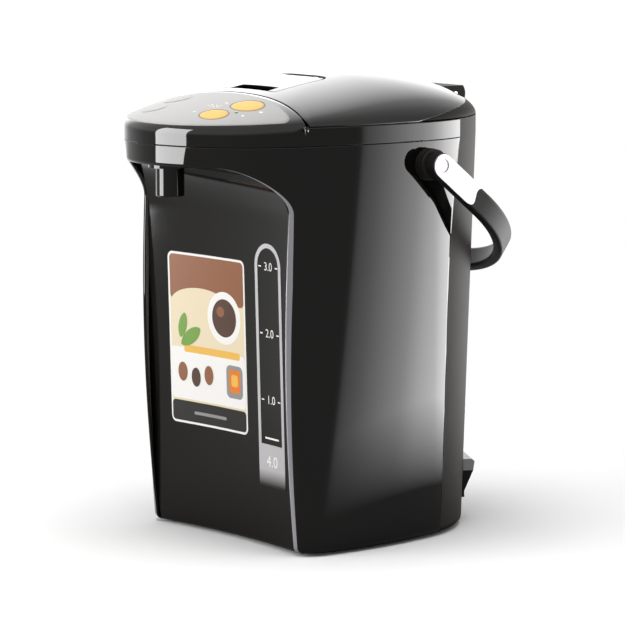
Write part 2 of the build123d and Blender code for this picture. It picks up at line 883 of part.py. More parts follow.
# ------------------------------------------------------------------ container and its heater
container_outer_r = water_r + container_wall
with BuildPart() as inner_container:
    add(ring(water_r, container_outer_r, container_low, container_rim, (0, 0)))
    add(ring(0, container_outer_r, container_low, container_floor))
    add(ring(water_r, container_flange_r, container_rim - container_wall, container_rim))
    add(ring(0, pump_inlet_r - 2, 0, container_floor + 1, pump_at), mode=Mode.SUBTRACT)
save(inner_container, "inner_container")

with BuildPart() as heat_shield:
    add(ring(shield_r - shield_wall, shield_r, cover_top, container_rim - container_wall))
    add(inlet_block(inlet_half_w + 3, inlet_half_h + 4, -25, 0), mode=Mode.SUBTRACT)
    add(block((tube_x - 20, tube_x + 7), (-far, -60), (0, riser_z + 20)), mode=Mode.SUBTRACT)
save(heat_shield, "heat_shield")

seal_top = container_rim + 1.5
with BuildPart() as container_seal:
    add(ring(mouth_r + 1, deck_hole_r - 1.5, container_rim, seal_top))
save(container_seal, "container_seal")

mouth_lip_r = 92.0
with BuildPart() as mouth_ring:
    add(ring(mouth_r, mouth_r + 3.5, seal_top, mouth_top))
    add(ring(mouth_r, deck_hole_r - 0.5, seal_top, seal_top + 2))
    add(ring(mouth_r, mouth_lip_r, head_top, mouth_top))
    fillet(mouth_ring.edges().filter_by(GeomType.CIRCLE).sort_by(Axis.Z)[-2:], 0.8)
save(mouth_ring, "mouth_ring")

heater_z = (container_low - 3.0, container_low)
with BuildPart() as heater_ring:
    add(ring(12, 44, *heater_z))
save(heater_ring, "heater_ring")

with BuildPart() as thermistor:
    add(ring(0, 5, container_low - 6, container_low))
save(thermistor, "thermistor")

with BuildPart() as thermal_fuse:
    add(block((-38, -20), (6, 14), (heater_z[0] - 4, heater_z[0])))
save(thermal_fuse, "thermal_fuse")

strap_z = (40.0, 42.0)
strap_y = (46.0, 62.0)
with BuildPart() as support_bracket:
    add(block((-far, far), strap_y, strap_z) & ring(0, shield_r - shield_wall - snug, 0, far))
    for x in (-30, 30):
        add(ring(0, 4, strap_z[1], container_low, (x, sum(strap_y) / 2)))
save(support_bracket, "support_bracket")

main_board_z = 13.0
main_board_x = 48.0
main_board_y = (5.0, 62.0)
board_posts = [(x, y) for x in (-42, 42) for y in (11, 56)]
with BuildPart() as main_board:
    add(block((-main_board_x, main_board_x), main_board_y, (main_board_z, main_board_z + board_thick)))
    parts_z = main_board_z + board_thick
    add(block((-40, -12), (20, 48), (parts_z, parts_z + 18)))
    add(block((0, 16), (15, 30), (parts_z, parts_z + 13)))
    add(ring(0, 6, parts_z, parts_z + 16, (28, 42)))
save(main_board, "main_board")

# ------------------------------------------------------------------ bottom cover and swivel base
boss_z = body_bottom + screw_length + 1.2
with BuildPart() as bottom_cover:
    add(prism("foot", wall + fit, inner_floor, cover_top))
    add(block((-far, far), (-far, -98.5), (0, far)), mode=Mode.SUBTRACT)
    for point in screw_points:
        add(ring(0, screw_r + 1.7, inner_floor, boss_z, point))
    for point in board_posts:
        add(ring(0, 3, inner_floor, main_board_z, point))
    add(ring(0, hub_r + running, 0, far), mode=Mode.SUBTRACT)
    add(screw_holes(), mode=Mode.SUBTRACT)
save(bottom_cover, "bottom_cover")

with BuildPart() as bottom_screws:
    for point in screw_points:
        add(ring(0, screw_head_r, screw_seat - screw_head_thick, screw_seat, point))
        add(ring(0, screw_r, screw_seat, body_bottom + screw_length, point))
save(bottom_screws, "bottom_screws")

swivel_top = mat_thick + swivel_thick
with BuildPart() as swivel_base:
    add(ring(0, swivel_r, mat_thick, swivel_top))
    add(ring(*slide_ring, swivel_top, inner_floor - slide_clear))
    add(ring(0, hub_r, swivel_top, hub_top))
    fillet(swivel_base.edges().group_by(Axis.Z)[0], 0.8)
save(swivel_base, "swivel_base")

with BuildPart() as swivel_mat:
    add(ring(0, mat_r, 0, mat_thick))
save(swivel_mat, "swivel_mat")

retainer_z = cover_top + 0.2
with BuildPart() as swivel_retainer:
    add(ring(hub_r + 0.02, retainer_r, retainer_z, retainer_z + retainer_thick))
save(swivel_retainer, "swivel_retainer")

# ------------------------------------------------------------------ power inlet
hood_base_z = inlet_z + inlet_half_h - hood_height
cheek_foot_z = inlet_z - 10.0
inlet_back = -12.0
recess_back = -8.0
hood_front = inlet_proud
cheek_front = inlet_proud - 1.0
hood_slope = 2.0


def inlet_profile(points, half_width):
    """Prism across the inlet from a profile of (distance out, height) points."""
    side = Plane(origin=(0, 0, 0), x_dir=inlet_plane.z_dir, z_dir=-inlet_plane.x_dir)
    with BuildPart() as made:
        with BuildSketch(side):
            with BuildLine():
                Polyline(*[(foot_rear_r + out, height) for out, height in points], close=True)
            make_face()
        extrude(amount=half_width, both=True)
    return made.part


low_z = inlet_z - inlet_half_h
top_z = inlet_z + inlet_half_h
housing_profile = [
    (inlet_back, low_z), (1.0, low_z), (1.0, cheek_foot_z), (cheek_front, hood_base_z),
    (0.0, hood_base_z), (0.0, top_z), (inlet_back, top_z),
]
hood_profile = [
    (0.0, hood_base_z), (cheek_front, hood_base_z), (hood_front, top_z - hood_slope),
    (hood_front - hood_slope, top_z), (0.0, top_z),
]
recess_profile = [
    (recess_back, low_z + inlet_wall), (far, low_z + inlet_wall), (far, hood_base_z - 0.5),
    (recess_back, hood_base_z - 0.5),
]
with BuildPart() as inlet_housing:
    add(inlet_profile(housing_profile, inlet_half_w))
    add(inlet_profile(recess_profile, inlet_half_w - inlet_wall), mode=Mode.SUBTRACT)
save(inlet_housing, "inlet_housing")

with BuildPart() as inlet_hood:
    add(inlet_profile(hood_profile, inlet_half_w))
save(inlet_hood, "inlet_hood")

pin_spacing = 6.5
with BuildPart() as inlet_pins:
    for side in (-1, 1):
        with Locations(inlet_plane.offset(recess_back) * Location((side * pin_spacing, -4, 0))):
            Cylinder(1.6, 5.0, align=(Align.CENTER, Align.CENTER, Align.MIN))
save(inlet_pins, "inlet_pins")

# ------------------------------------------------------------------ lid
lid_low = rim_height + 0.3
block_gap = 0.4
behind_gap = block((-far, far), (-far, far), (lid_low, far)) - front_region(lid_gap)
block_notch = block(
    (-hinge_half - block_gap, hinge_half + block_gap), (hinge_y - 16 - block_gap, far), (lid_low - 1, far)
)


def rear_band(shift):
    """The low matt band round the back of the lid: a wedge that rises to the rear."""
    foot_z = rim_height - 10
    with BuildPart() as made:
        with BuildSketch(Plane.YZ):
            with BuildLine():
                start = (-5 + shift, foot_z)
                crest = (hinge_y - 18, hinge_z + 0.5 - shift)
                Line(start, (start[0], rim_height + 1))
                Line((start[0], rim_height + 1), (35 + shift, rim_height + 7 - shift))
                Line((35 + shift, rim_height + 7 - shift), crest)
                Line(crest, (far, crest[1] + 1))
                Polyline((far, crest[1] + 1), (far, foot_z), start)
            make_face()
        extrude(amount=far, both=True)
    return made.part


def flap_prism(margin, rear_margin, rear_corner):
    """The flap's outline as an upright prism, with its rear corners rounded."""
    half = flap_half + margin
    low_y = -flap_front - margin
    high_y = -flap_rear + rear_margin
    with BuildPart() as made:
        with BuildSketch(Plane.XY.offset(tray_floor)) as plan:
            with Locations((0, (low_y + high_y) / 2)):
                Rectangle(2 * half, high_y - low_y)
            fillet(plan.vertices().group_by(Axis.Y)[-1], rear_corner)
            fillet(plan.vertices().group_by(Axis.Y)[0], 2.0 + margin)
        extrude(amount=far)
    return made.part


with BuildPart() as lid_cover:
    add(skin & behind_gap)
    add(rear_band(0), mode=Mode.SUBTRACT)
    add(block_notch, mode=Mode.SUBTRACT)
    add(flap_prism(flap_gap, flap_swing_gap, flap_hole_corner), mode=Mode.SUBTRACT)
save(lid_cover, "lid_cover")

with BuildPart() as lid_rear_trims:
    add(skin & behind_gap)
    add(rear_band(snug), mode=Mode.INTERSECT)
    add(block_notch, mode=Mode.SUBTRACT)
save(lid_rear_trims, "lid_rear_trims")

lid_space = block((-far, far), (-far, far), (0, far)) - front_region(lid_gap + snug)
under_skin = dome_body(wall + snug, wall + snug, seam_height)
plate_top = lid_plate_z + lid_plate_thick
plug_wall = 2.0
bolt_tip = -89.5
bolt_tail = -50.0
bolt_z = (plate_top + 1, plate_top + 4.5)
bolt_half = 10.0
guide_wall = 1.6
steam_at = (0, 30)
with BuildPart() as bolt_guides:
    for y in (-86, -60):
        add(block((-bolt_half - 4, bolt_half + 4), (y - 3, y + 3), (lid_plate_z, bolt_z[1] + guide_wall)))
    add(block((-bolt_half - fit, bolt_half + fit), (-far, far), (bolt_z[0] - fit, bolt_z[1] + fit)),
        mode=Mode.SUBTRACT)

with BuildPart() as lid_base:
    add(prism("head", wall + snug, lid_plate_z, plate_top))
    add(lid_space, mode=Mode.INTERSECT)
    add(under_skin, mode=Mode.INTERSECT)
    add(block_notch, mode=Mode.SUBTRACT)
    add(ring(plug_r - plug_wall, plug_r, plug_bottom, lid_plate_z))
    add(ring(0, 8.7 + snug, 0, far, steam_at), mode=Mode.SUBTRACT)
    add(bolt_guides.part)
save(lid_base, "lid_base")

with BuildPart() as lid_inner_plate:
    add(ring(0, plug_r, plug_bottom - 1, plug_bottom))
    add(ring(0, 4, 0, far, steam_at), mode=Mode.SUBTRACT)
save(lid_inner_plate, "lid_inner_plate")

with BuildPart() as steam_valve:
    add(ring(4, 8.7, plug_bottom, plate_top + 3, steam_at))
    add(ring(4, 12, plate_top, plate_top + 3, steam_at))
save(steam_valve, "steam_valve")

with BuildPart() as lid_gasket:
    add(ring(gasket_inner, gasket_outer, mouth_top + slide_clear, lid_plate_z))
save(lid_gasket, "lid_gasket")

# hinge: the block turns with the lid, the bracket's ears stand on the deck
tongue_y = (76.0, hinge_y - 14)
lever_half = (8.0, 3.0)
lever_y = 95.0
lever_z = (333.4, 335.8)
lever_slot_floor = 331.2
hinge_axis = [(x, hinge_y, hinge_z) for x in (-hinge_half, hinge_half)]
with BuildPart() as hinge_block:
    add(cylinder_between(*hinge_axis, hinge_barrel_r))
    add(block((-hinge_half, hinge_half), (hinge_y - 16, hinge_y), (lid_plate_z + fit, hinge_top)))
    add(block((-hinge_half, hinge_half), (0, far), (hinge_top, far)), mode=Mode.SUBTRACT)
    add(block((-20, 20), tongue_y, (plate_top, plate_top + 3)))
    for side in (-1, 1):
        slot_x = (side * ear_x - ear_gap, side * ear_x + ear_gap)
        slot_ends = [(x, hinge_y, hinge_z) for x in slot_x]
        add(cylinder_between(*slot_ends, ear_r + fit), mode=Mode.SUBTRACT)
        add(block(slot_x, (hinge_y - ear_r - fit, far), (0, hinge_z + ear_back + fit)), mode=Mode.SUBTRACT)
    add(cylinder_between(*hinge_axis, hinge_pin_r + 0.02), mode=Mode.SUBTRACT)
    add(block((-lever_half[0] - fit, lever_half[0] + fit),
              (lever_y - lever_half[1] - fit, lever_y + lever_half[1] + fit),
              (lever_slot_floor, far)), mode=Mode.SUBTRACT)
save(hinge_block, "hinge_block")

with BuildPart() as hinge_pin:
    add(cylinder_between(*hinge_axis, hinge_pin_r))
save(hinge_pin, "hinge_pin")

ear_y = (hinge_y - ear_front, hinge_y + ear_back)
with BuildPart() as hinge_bracket:
    add(block((-22, 22), (hinge_y - 9, hinge_y + 1.0), (deck_low - 2, deck_low)))
    for side in (-1, 1):
        ear_span = (side * ear_x - ear_thick / 2, side * ear_x + ear_thick / 2)
        add(block(ear_span, ear_y, (deck_low - 2, hinge_z)))
        add(cylinder_between(*[(x, hinge_y, hinge_z) for x in ear_span], ear_r))
    add(cylinder_between(*hinge_axis, hinge_pin_r + running), mode=Mode.SUBTRACT)
save(hinge_bracket, "hinge_bracket")

with BuildPart() as lid_detach_lever:
    add(block((-lever_half[0], lever_half[0]), (lever_y - lever_half[1], lever_y + lever_half[1]), lever_z))
save(lid_detach_lever, "lid_detach_lever")

# release flap in its tray
pin_reach = flap_half + 1.4
flap_axis = [(x, flap_pin_y, flap_pin_z) for x in (-pin_reach, pin_reach)]
tray_x = flap_half + 0.6
with BuildPart() as latch_tray:
    add(block((-tray_x - tray_wall, tray_x + tray_wall), (-flap_front - 2.5, -flap_rear + 3.5),
              (tray_floor - tray_wall, far)) & under_skin)
    add(block((-tray_x, tray_x), (-flap_front - 0.8, -flap_rear + flap_swing_gap + fit), (tray_floor, far)),
        mode=Mode.SUBTRACT)
    add(cylinder_between(*flap_axis, flap_pin_r + 0.02), mode=Mode.SUBTRACT)
    for side in (-1, 1):
        leg_x = sorted((side * (tray_x + 0.5), side * (tray_x + 8)))
        add(block(leg_x, (-62, -50), (plate_top, tray_floor + 2)))
save(latch_tray, "latch_tray")

with BuildPart() as release_flap:
    add(flap_prism(0, 0, flap_corner) & dome_body(0, 0, seam_height))
    add(dome_body(0, flap_thick, seam_height - 1), mode=Mode.SUBTRACT)
    add(block((-notch_half, notch_half), (-far, -flap_front + notch_depth), (0, far)), mode=Mode.SUBTRACT)
    add(block((-flap_half + 1, flap_half - 1), (flap_pin_y - 3, flap_pin_y + 3),
              (flap_pin_z - 2.5, far)) & dome_body(0, 1, seam_height))
    add(block((-far, far), (flap_pin_y, far), (0, far)) - cylinder_between(
        (-far, flap_pin_y, flap_pin_z), (far, flap_pin_y, flap_pin_z), flap_end_r), mode=Mode.SUBTRACT)
    add(cylinder_between(*flap_axis, flap_pin_r + running), mode=Mode.SUBTRACT)
save(release_flap, "release_flap")

with BuildPart() as flap_pin:
    add(cylinder_between(*flap_axis, flap_pin_r))
save(flap_pin, "flap_pin")

with BuildPart() as latch_bolt:
    add(block((-bolt_half, bolt_half), (bolt_tip, bolt_tail), bolt_z))
save(latch_bolt, "latch_bolt")

# ------------------------------------------------------------------ carrying handle
arm_outer = arm_inner + arm_thick
slope = radians(handle_rest)
handle_plane = Plane(origin=(0, 0, pivot_z), x_dir=(1, 0, 0), z_dir=(0, sin(slope), cos(slope)))
strap_half = strap_width / 2
shaft_end = arm_inner + 7.0


def pivot_bar(low_x, high_x, radius):
    """Round bar along the handle's pivot axis."""
    return cylinder_between((low_x, 0, pivot_z), (high_x, 0, pivot_z), radius)


def handle_loop(half, far_reach):
    """Filled plan of the handle's loop out to one of its faces."""
    with BuildSketch() as made:
        with Locations((0, arm_straight / 2)):
            Rectangle(2 * half, arm_straight)
        with Locations((0, arm_straight)):
            Ellipse(half, far_reach - arm_straight)
    return made.sketch


with BuildPart() as handle:
    with BuildSketch(handle_plane):
        add(handle_loop(arm_outer, grip_reach))
        add(handle_loop(arm_inner, grip_reach - arm_thick), mode=Mode.SUBTRACT)
        with Locations((0, -arm_straight)):
            Rectangle(4 * arm_outer, 2 * arm_straight, mode=Mode.SUBTRACT)
    extrude(amount=strap_half, both=True)
    fillet(handle.edges().filter_by(lambda edge: edge.length > arm_straight - 1), strap_round)
    for side in (-1, 1):
        add(pivot_bar(side * arm_inner, side * arm_outer, strap_half))
        add(pivot_bar(side * (arm_inner - 1), side * (shaft_end + 0.4), shaft_r + running), mode=Mode.SUBTRACT)
save(handle, "handle")

plate_half = strap_half - 0.5
wave_start = plate_length - strap_width / 2
with BuildPart() as plate_form:
    with BuildSketch(Plane(origin=(0, 0, pivot_z), x_dir=(0, cos(slope), -sin(slope)), z_dir=(1, 0, 0))):
        with BuildLine():
            Line((0, plate_half), (wave_start + 3, plate_half))
            Spline(
                (wave_start + 3, plate_half), (wave_start - 1, 2),
                (wave_start + 1, -4), (wave_start - 6, -plate_half),
            )
            Line((wave_start - 6, -plate_half), (0, -plate_half))
            ThreePointArc((0, -plate_half), (-plate_half, 0), (0, plate_half))
        make_face()
    extrude(amount=far, both=True)

with BuildPart() as handle_plates:
    for side in (-1, 1):
        faces = sorted((side * arm_outer, side * (arm_outer + plate_thick)))
        add(block(faces, (-far, far), (-far, far + pivot_z)) & plate_form.part)
        add(pivot_bar(side * (arm_outer + 0.5), side * (arm_outer + 5), dimple_r), mode=Mode.SUBTRACT)
save(handle_plates, "handle_plates")

# pivot bosses: (from x, to x, radius) of their ridges
boss_steps = (
    (99.5, 103.2, boss_r + 2),
    (102.8, 109.6, boss_r),
    (109.0, 111.0, boss_r - 1),
    (110.6, 112.6, boss_r),
    (112.0, 114.0, boss_r - 1.2),
    (113.6, 116.7, boss_r - 0.4),
    (116.0, shaft_end, shaft_r),
)
with BuildPart() as pivot_bosses:
    for side in (-1, 1):
        for low_x, high_x, radius in boss_steps:
            add(pivot_bar(side * low_x, side * high_x, radius))
save(pivot_bosses, "pivot_bosses")
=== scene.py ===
# %% [markdown]
# # Electric thermo pot
# A black, glossy hot-water pot that stands on a swivel base. Gloss black plastic shows
# almost nothing of its own: what the eye reads is the room mirrored in it. So the big
# shells need perfectly smooth normals, and they are worked out here as formulas, while the
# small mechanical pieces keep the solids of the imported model.

import math

import bmesh
import bpy
import numpy as np
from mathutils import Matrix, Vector


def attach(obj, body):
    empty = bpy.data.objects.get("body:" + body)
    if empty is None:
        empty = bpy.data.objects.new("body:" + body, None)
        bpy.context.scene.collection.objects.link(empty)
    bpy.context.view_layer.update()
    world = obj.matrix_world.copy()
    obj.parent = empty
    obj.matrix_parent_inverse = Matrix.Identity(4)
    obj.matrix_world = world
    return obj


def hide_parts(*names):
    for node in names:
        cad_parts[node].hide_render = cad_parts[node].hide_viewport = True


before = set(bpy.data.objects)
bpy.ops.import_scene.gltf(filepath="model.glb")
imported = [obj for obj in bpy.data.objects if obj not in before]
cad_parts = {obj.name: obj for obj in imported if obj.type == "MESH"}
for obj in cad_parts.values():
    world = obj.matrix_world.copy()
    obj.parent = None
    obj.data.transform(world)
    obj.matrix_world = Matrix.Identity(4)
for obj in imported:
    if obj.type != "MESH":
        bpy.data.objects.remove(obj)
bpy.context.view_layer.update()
MM = 0.001

# %% [markdown]
# ## Small helpers
# Colours are written as on screen (sRGB hex) and turned to the linear values that Blender
# works with. One function adds a shader node with its settings and its links.

# %% Colour and node helpers
def linear(hex_colour):
    """sRGB hex to linear RGBA: c/12.92 below 0.04045, ((c + 0.055)/1.055)^2.4 above."""
    channels = np.array([int(hex_colour[i:i + 2], 16) / 255 for i in (1, 3, 5)])
    low = channels / 12.92
    high = ((channels + 0.055) / 1.055) ** 2.4
    return (*np.where(channels <= 0.04045, low, high).tolist(), 1.0)


def add_node(tree, kind, links=None, inputs=None, **settings):
    """Add a node, set its properties and input values, and link inputs to other sockets."""
    node = tree.nodes.new(kind)
    for key, value in settings.items():
        setattr(node, key, value)
    for key, value in (inputs or {}).items():
        node.inputs[key].default_value = value
    for key, socket in (links or {}).items():
        tree.links.new(socket, node.inputs[key])
    return node


def plastic(name, colour, roughness, ior=1.5, coat=0.0, metallic=0.0, grain_mm=0.0, grain_depth=0.0,
            mottle=0.0, transmission=0.0, alpha=1.0):
    """Principled material with an optional fine grain (bump) and a slight mottling of its roughness."""
    material = bpy.data.materials.new(name)
    material.use_nodes = True
    tree = material.node_tree
    shader = tree.nodes["Principled BSDF"]
    shader.inputs["Base Color"].default_value = linear(colour)
    shader.inputs["Roughness"].default_value = roughness
    shader.inputs["IOR"].default_value = ior
    shader.inputs["Metallic"].default_value = metallic
    shader.inputs["Coat Weight"].default_value = coat
    shader.inputs["Coat Roughness"].default_value = 0.03
    shader.inputs["Transmission Weight"].default_value = transmission
    shader.inputs["Alpha"].default_value = alpha
    place = add_node(tree, "ShaderNodeTexCoord").outputs["Object"]
    if mottle:
        cloud = add_node(tree, "ShaderNodeTexNoise", {"Vector": place}, {"Scale": 60.0, "Detail": 3.0})
        spread = add_node(tree, "ShaderNodeMapRange", {"Value": cloud.outputs["Fac"]}, {
            "To Min": max(0.0, roughness - mottle), "To Max": roughness + mottle,
        })
        tree.links.new(spread.outputs["Result"], shader.inputs["Roughness"])
    if grain_mm:
        grain = add_node(tree, "ShaderNodeTexNoise", {"Vector": place}, {
            "Scale": 1 / (grain_mm * MM), "Detail": 2.0,
        })
        bump = add_node(tree, "ShaderNodeBump", {"Height": grain.outputs["Fac"]}, {
            "Strength": 1.0, "Distance": grain_depth * MM,
        })
        tree.links.new(bump.outputs["Normal"], shader.inputs["Normal"])
    return material


# %% [markdown]
# ## Finishes
# - **Piano-black ABS**: injection-moulded in a mirror-polished tool. Near-black colour, IOR of
#   about 1.5, almost no roughness, so it mirrors the room.
# - **Spark-eroded black PP**: the same black from an eroded tool, a fine matt grain.
# - **Silver lacquer**: aluminium flakes in clear lacquer on plastic, so a satin metal look.
# - **Key yellow**: through-dyed ABS, satin.

# %% Make the materials
piano_black = plastic("piano_black_abs", "#0f0d0b", 0.035, ior=1.5, mottle=0.012)
hollow_black = plastic("satin_black_abs", "#151311", 0.10, ior=1.5, mottle=0.02)
eroded_black = plastic("spark_eroded_black_pp", "#2b2826", 0.55, ior=1.15, grain_mm=0.9, grain_depth=0.05)
handle_black = plastic("moulded_black_handle_pp", "#1d1b1a", 0.45, ior=1.2, grain_mm=1.2, grain_depth=0.04)
silver_lacquer = plastic("silver_lacquer", "#a9a8a7", 0.45, ior=1.12, metallic=0.1,
                         grain_mm=0.7, grain_depth=0.01)
# painted reflection: on the casing this pale silver stands in for the sheen on the opening's edge chamfer; on
# the handle plates it is their own silver finish
silver_plate_and_edge_sheen = plastic("silver_lacquer_and_painted_edge_sheen", "#b8b4bb", 0.32, metallic=0.5, mottle=0.04)
key_yellow = plastic("dyed_yellow_abs", "#dfb45c", 0.4, ior=1.15, mottle=0.05)
key_rim = plastic("printed_brown_line", "#7a5a24", 0.5, mottle=0.03)
# painted shadow: the dark arc at the front right edge of the silver keys, where only shade falls
key_shadow = plastic("painted_key_edge_shadow", "#4a4745", 0.5, mottle=0.03)
ink_white = plastic("screen_print_white", "#e9e7e2", 0.55, mottle=0.04)
lamp_green = plastic("green_light_guide", "#3f9b55", 0.25, mottle=0.03, transmission=0.2)
gauge_glass = plastic("smoked_styrene_window", "#3a3a3c", 0.08, mottle=0.02)
hood_grey = plastic("light_grey_abs", "#a9a7a8", 0.45, grain_mm=0.8, grain_depth=0.02)
steel = plastic("brushed_stainless_steel", "#c2c0bd", 0.3, metallic=1.0, mottle=0.06)
clear_pipe = plastic("clear_borosilicate_glass", "#e8f0f0", 0.03, transmission=0.9, mottle=0.01)
silicone = plastic("milky_silicone", "#d4d2cb", 0.5, mottle=0.05)
nylon_white = plastic("white_nylon", "#d8d6cf", 0.5, grain_mm=1.5, grain_depth=0.02)
board_green = plastic("solder_mask_green", "#2d5a38", 0.35, mottle=0.04)
foot_rubber = plastic("moulded_foot_rubber", "#1b1b1b", 0.7, grain_mm=1.0, grain_depth=0.04)
brass_pin = plastic("turned_brass", "#c9a45a", 0.25, metallic=1.0, mottle=0.05)
print("materials:", len(bpy.data.materials))

# %% [markdown]
# ## Surfaces from formulas
# Every new piece is a grid of points worked out as whole arrays. A grid gives clean quads,
# and clean quads give clean reflections.

# %% Turn arrays into meshes
def grid_faces(rows, columns, wrap=False):
    """Quads of a grid of points; with wrap the last column joins the first."""
    last = columns if wrap else columns - 1
    row, column = np.meshgrid(np.arange(rows - 1), np.arange(last), indexing="ij")
    start = row * columns
    following = (column + 1) % columns
    corners = [start + column, start + following, start + columns + following, start + columns + column]
    return np.stack(corners, -1).reshape(-1, 4)


def make_piece(name, points, faces, body, material, replaces=(), slot=None, thick=0.0, bevel=0.0,
               outward=None, smooth=True, more_materials=(), face_slots=None):
    """Mesh from points in millimetres. Doubles are merged, normals turned to face outward, and a
    wall thickness and a small bevel can follow."""
    mesh = bpy.data.meshes.new(name)
    mesh.from_pydata((np.asarray(points) * MM).tolist(), [], np.asarray(faces).tolist())
    for item in (material, *more_materials):
        mesh.materials.append(item)
    if face_slots is not None:
        mesh.polygons.foreach_set("material_index", np.asarray(face_slots, dtype=np.int32))
    work = bmesh.new()
    work.from_mesh(mesh)
    bmesh.ops.remove_doubles(work, verts=work.verts, dist=2e-6)
    bmesh.ops.recalc_face_normals(work, faces=work.faces)
    if outward is not None:
        away = sum((f.normal.dot(f.calc_center_median() - outward) * f.calc_area() for f in work.faces))
        if away < 0:
            bmesh.ops.reverse_faces(work, faces=work.faces)
    work.to_mesh(mesh)
    work.free()
    if smooth:
        mesh.shade_smooth()
    piece = bpy.data.objects.new(name, mesh)
    bpy.context.scene.collection.objects.link(piece)
    if thick:
        wall = piece.modifiers.new("wall", "SOLIDIFY")
        wall.thickness = thick * MM
        wall.offset = -1.0
        wall.use_even_offset = True
        wall.material_offset_rim = -1
    if bevel:
        edge = piece.modifiers.new("edge", "BEVEL")
        edge.width = bevel * MM
        edge.segments = 2
        edge.limit_method = "ANGLE"
        edge.angle_limit = math.radians(50)
    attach(piece, body)
    if replaces:
        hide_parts(*replaces)
    print(name, "faces", len(mesh.polygons))
    return piece


def grid_piece(name, grid, body, material, wrap=False, **settings):
    """A piece from one grid of points; with wrap its columns close into a ring."""
    faces = grid_faces(*grid.shape[:2], wrap=wrap)
    return make_piece(name, grid.reshape(-1, 3), faces, body, material, **settings)


# %% [markdown]
# ## The plan outline
# Foot and head each have a plan made of tangent arcs: a round rear about the axis, a long flat
# flank, and a corner (rounded at the foot, the whole nose at the head). The casing is the ruled
# surface between the two plans: each point of the foot joins the matching point of the head.

# %% Outline arcs in numpy
BODY_BOTTOM, SEAM_Z, RIM_Z, DOME_H, NOSE_Z = 2.0, 303.5, 318.0, 34.0, 288.5
FOOT_R, FOOT_HALF, FOOT_WIDEST, FOOT_CORNER_R, FOOT_FRONT = 98.5, 102.5, -42.5, 20.0, 109.0
HEAD_R, NOSE_R, NOSE_REACH, HEAD_WIDEST, NOSE_JOIN = 108.0, 93.0, 178.0, -10.0, 40.0
WALL = 2.6


def outline_table():
    """Arc data (centre x, centre y, radius, start, end) of the right half, for foot and head.
    The fourth stretch is the front: a straight line at the foot, the nose's arc at the head."""
    foot_flank_r = (FOOT_HALF**2 + FOOT_WIDEST**2 - FOOT_R**2) / (2 * (FOOT_HALF - FOOT_R))
    foot_flank_x = -math.sqrt((foot_flank_r - FOOT_R) ** 2 - FOOT_WIDEST**2)
    corner_y = -(FOOT_FRONT - FOOT_CORNER_R)
    corner_x = foot_flank_x + math.sqrt((foot_flank_r - FOOT_CORNER_R) ** 2 - (corner_y - FOOT_WIDEST) ** 2)
    nose_y = -(NOSE_REACH - NOSE_R)
    head_flank_r = (nose_y**2 - 2 * nose_y * HEAD_WIDEST + HEAD_R**2 - NOSE_R**2) / (2 * (HEAD_R - NOSE_R))
    head_flank_x = -math.sqrt((head_flank_r - HEAD_R) ** 2 - HEAD_WIDEST**2)

    def stretch(rear_r, flank, flank_r, corner, corner_r, last):
        a0 = math.atan2(-flank[1], -flank[0])
        a1 = math.atan2(corner[1] - flank[1], corner[0] - flank[0])
        return [(0.0, 0.0, rear_r, math.pi / 2, a0), (*flank, flank_r, a0, a1),
                (*corner, corner_r, a1, last)]

    foot_flank, head_flank = (foot_flank_x, FOOT_WIDEST), (head_flank_x, HEAD_WIDEST)
    foot_corner = (corner_x, corner_y)
    nose_end = math.radians(NOSE_JOIN - 90)
    foot = stretch(FOOT_R, foot_flank, foot_flank_r, foot_corner, FOOT_CORNER_R, -math.pi / 2)
    head = stretch(HEAD_R, head_flank, head_flank_r, (0.0, nose_y), NOSE_R, nose_end)
    return foot, head, (corner_x, nose_y)


FOOT_ARCS, HEAD_ARCS, (CORNER_X, NOSE_Y) = outline_table()


def outline(level, q, inset=0.0):
    """Point of the right half outline at q in [0, 4]: whole part picks the stretch, the rest is
    the share of it. level 0 is the foot and 1 the head, in between the ruled mix of both."""
    q = np.clip(np.asarray(q, float), 0.0, 4.0)
    level, inset = np.asarray(level, float), np.asarray(inset, float)
    part = np.minimum(q.astype(int), 3)
    t = q - part
    ends = []
    for arcs, is_foot in ((FOOT_ARCS, True), (HEAD_ARCS, False)):
        data = np.array(arcs + [arcs[-1]])[part]
        cx, cy, r, a0, a1 = np.moveaxis(data, -1, 0)
        if not is_foot:
            a0 = np.where(part == 3, math.radians(NOSE_JOIN - 90), a0)
            a1 = np.where(part == 3, -math.pi / 2, a1)
        angle = a0 + (a1 - a0) * t
        x = cx + (r - inset) * np.cos(angle)
        y = cy + (r - inset) * np.sin(angle)
        if is_foot:
            x = np.where(part == 3, CORNER_X * (1 - t), x)
            y = np.where(part == 3, -FOOT_FRONT + inset, y)
        ends.append((x, y))
    (fx, fy), (hx, hy) = ends
    return fx + (hx - fx) * level, fy + (hy - fy) * level


def solve(function, low, high, steps=40):
    """Bisection on whole arrays: where a function that falls from low to high crosses zero."""
    low, high = np.array(low, float), np.array(high, float)
    for _ in range(steps):
        middle = (low + high) / 2
        above = function(middle) > 0
        low = np.where(above, middle, low)
        high = np.where(above, high, middle)
    return (low + high) / 2


def level_of(z):
    """0 at the foot, 1 at the seam under the head."""
    return (np.asarray(z, float) - BODY_BOTTOM) / (SEAM_Z - BODY_BOTTOM)


# %% [markdown]
# ## Side casing
# Two flanks and the band over the arched front opening, in one shell. Rows follow the height,
# columns run from the rear cover's edge round to the opening. The last columns are the pale
# edge strip beside the hollow front: a painted reflection, standing in for the sheen on the edge's chamfer.

# %% The glossy casing
OPENING_FOOT, OPENING_HEAD, ARCH_R = 84.0, 88.0, 34.0
ARCH_Z = NOSE_Z - ARCH_R
SPLIT_FOOT, SPLIT_HEAD, SPLIT_BEND = 26.5, 38.5, 190.0
EDGE_ROUND = 5.0
STRIP_COLUMNS = 4        # columns of faces across the pale edge strip, a painted reflection of the edge's chamfer
LATE_FLANK = 1.7         # where the columns grow denser, well before the opening's edge
UPRIGHT_BLEND = 0.35     # share of the nose's arc over which the band turns upright


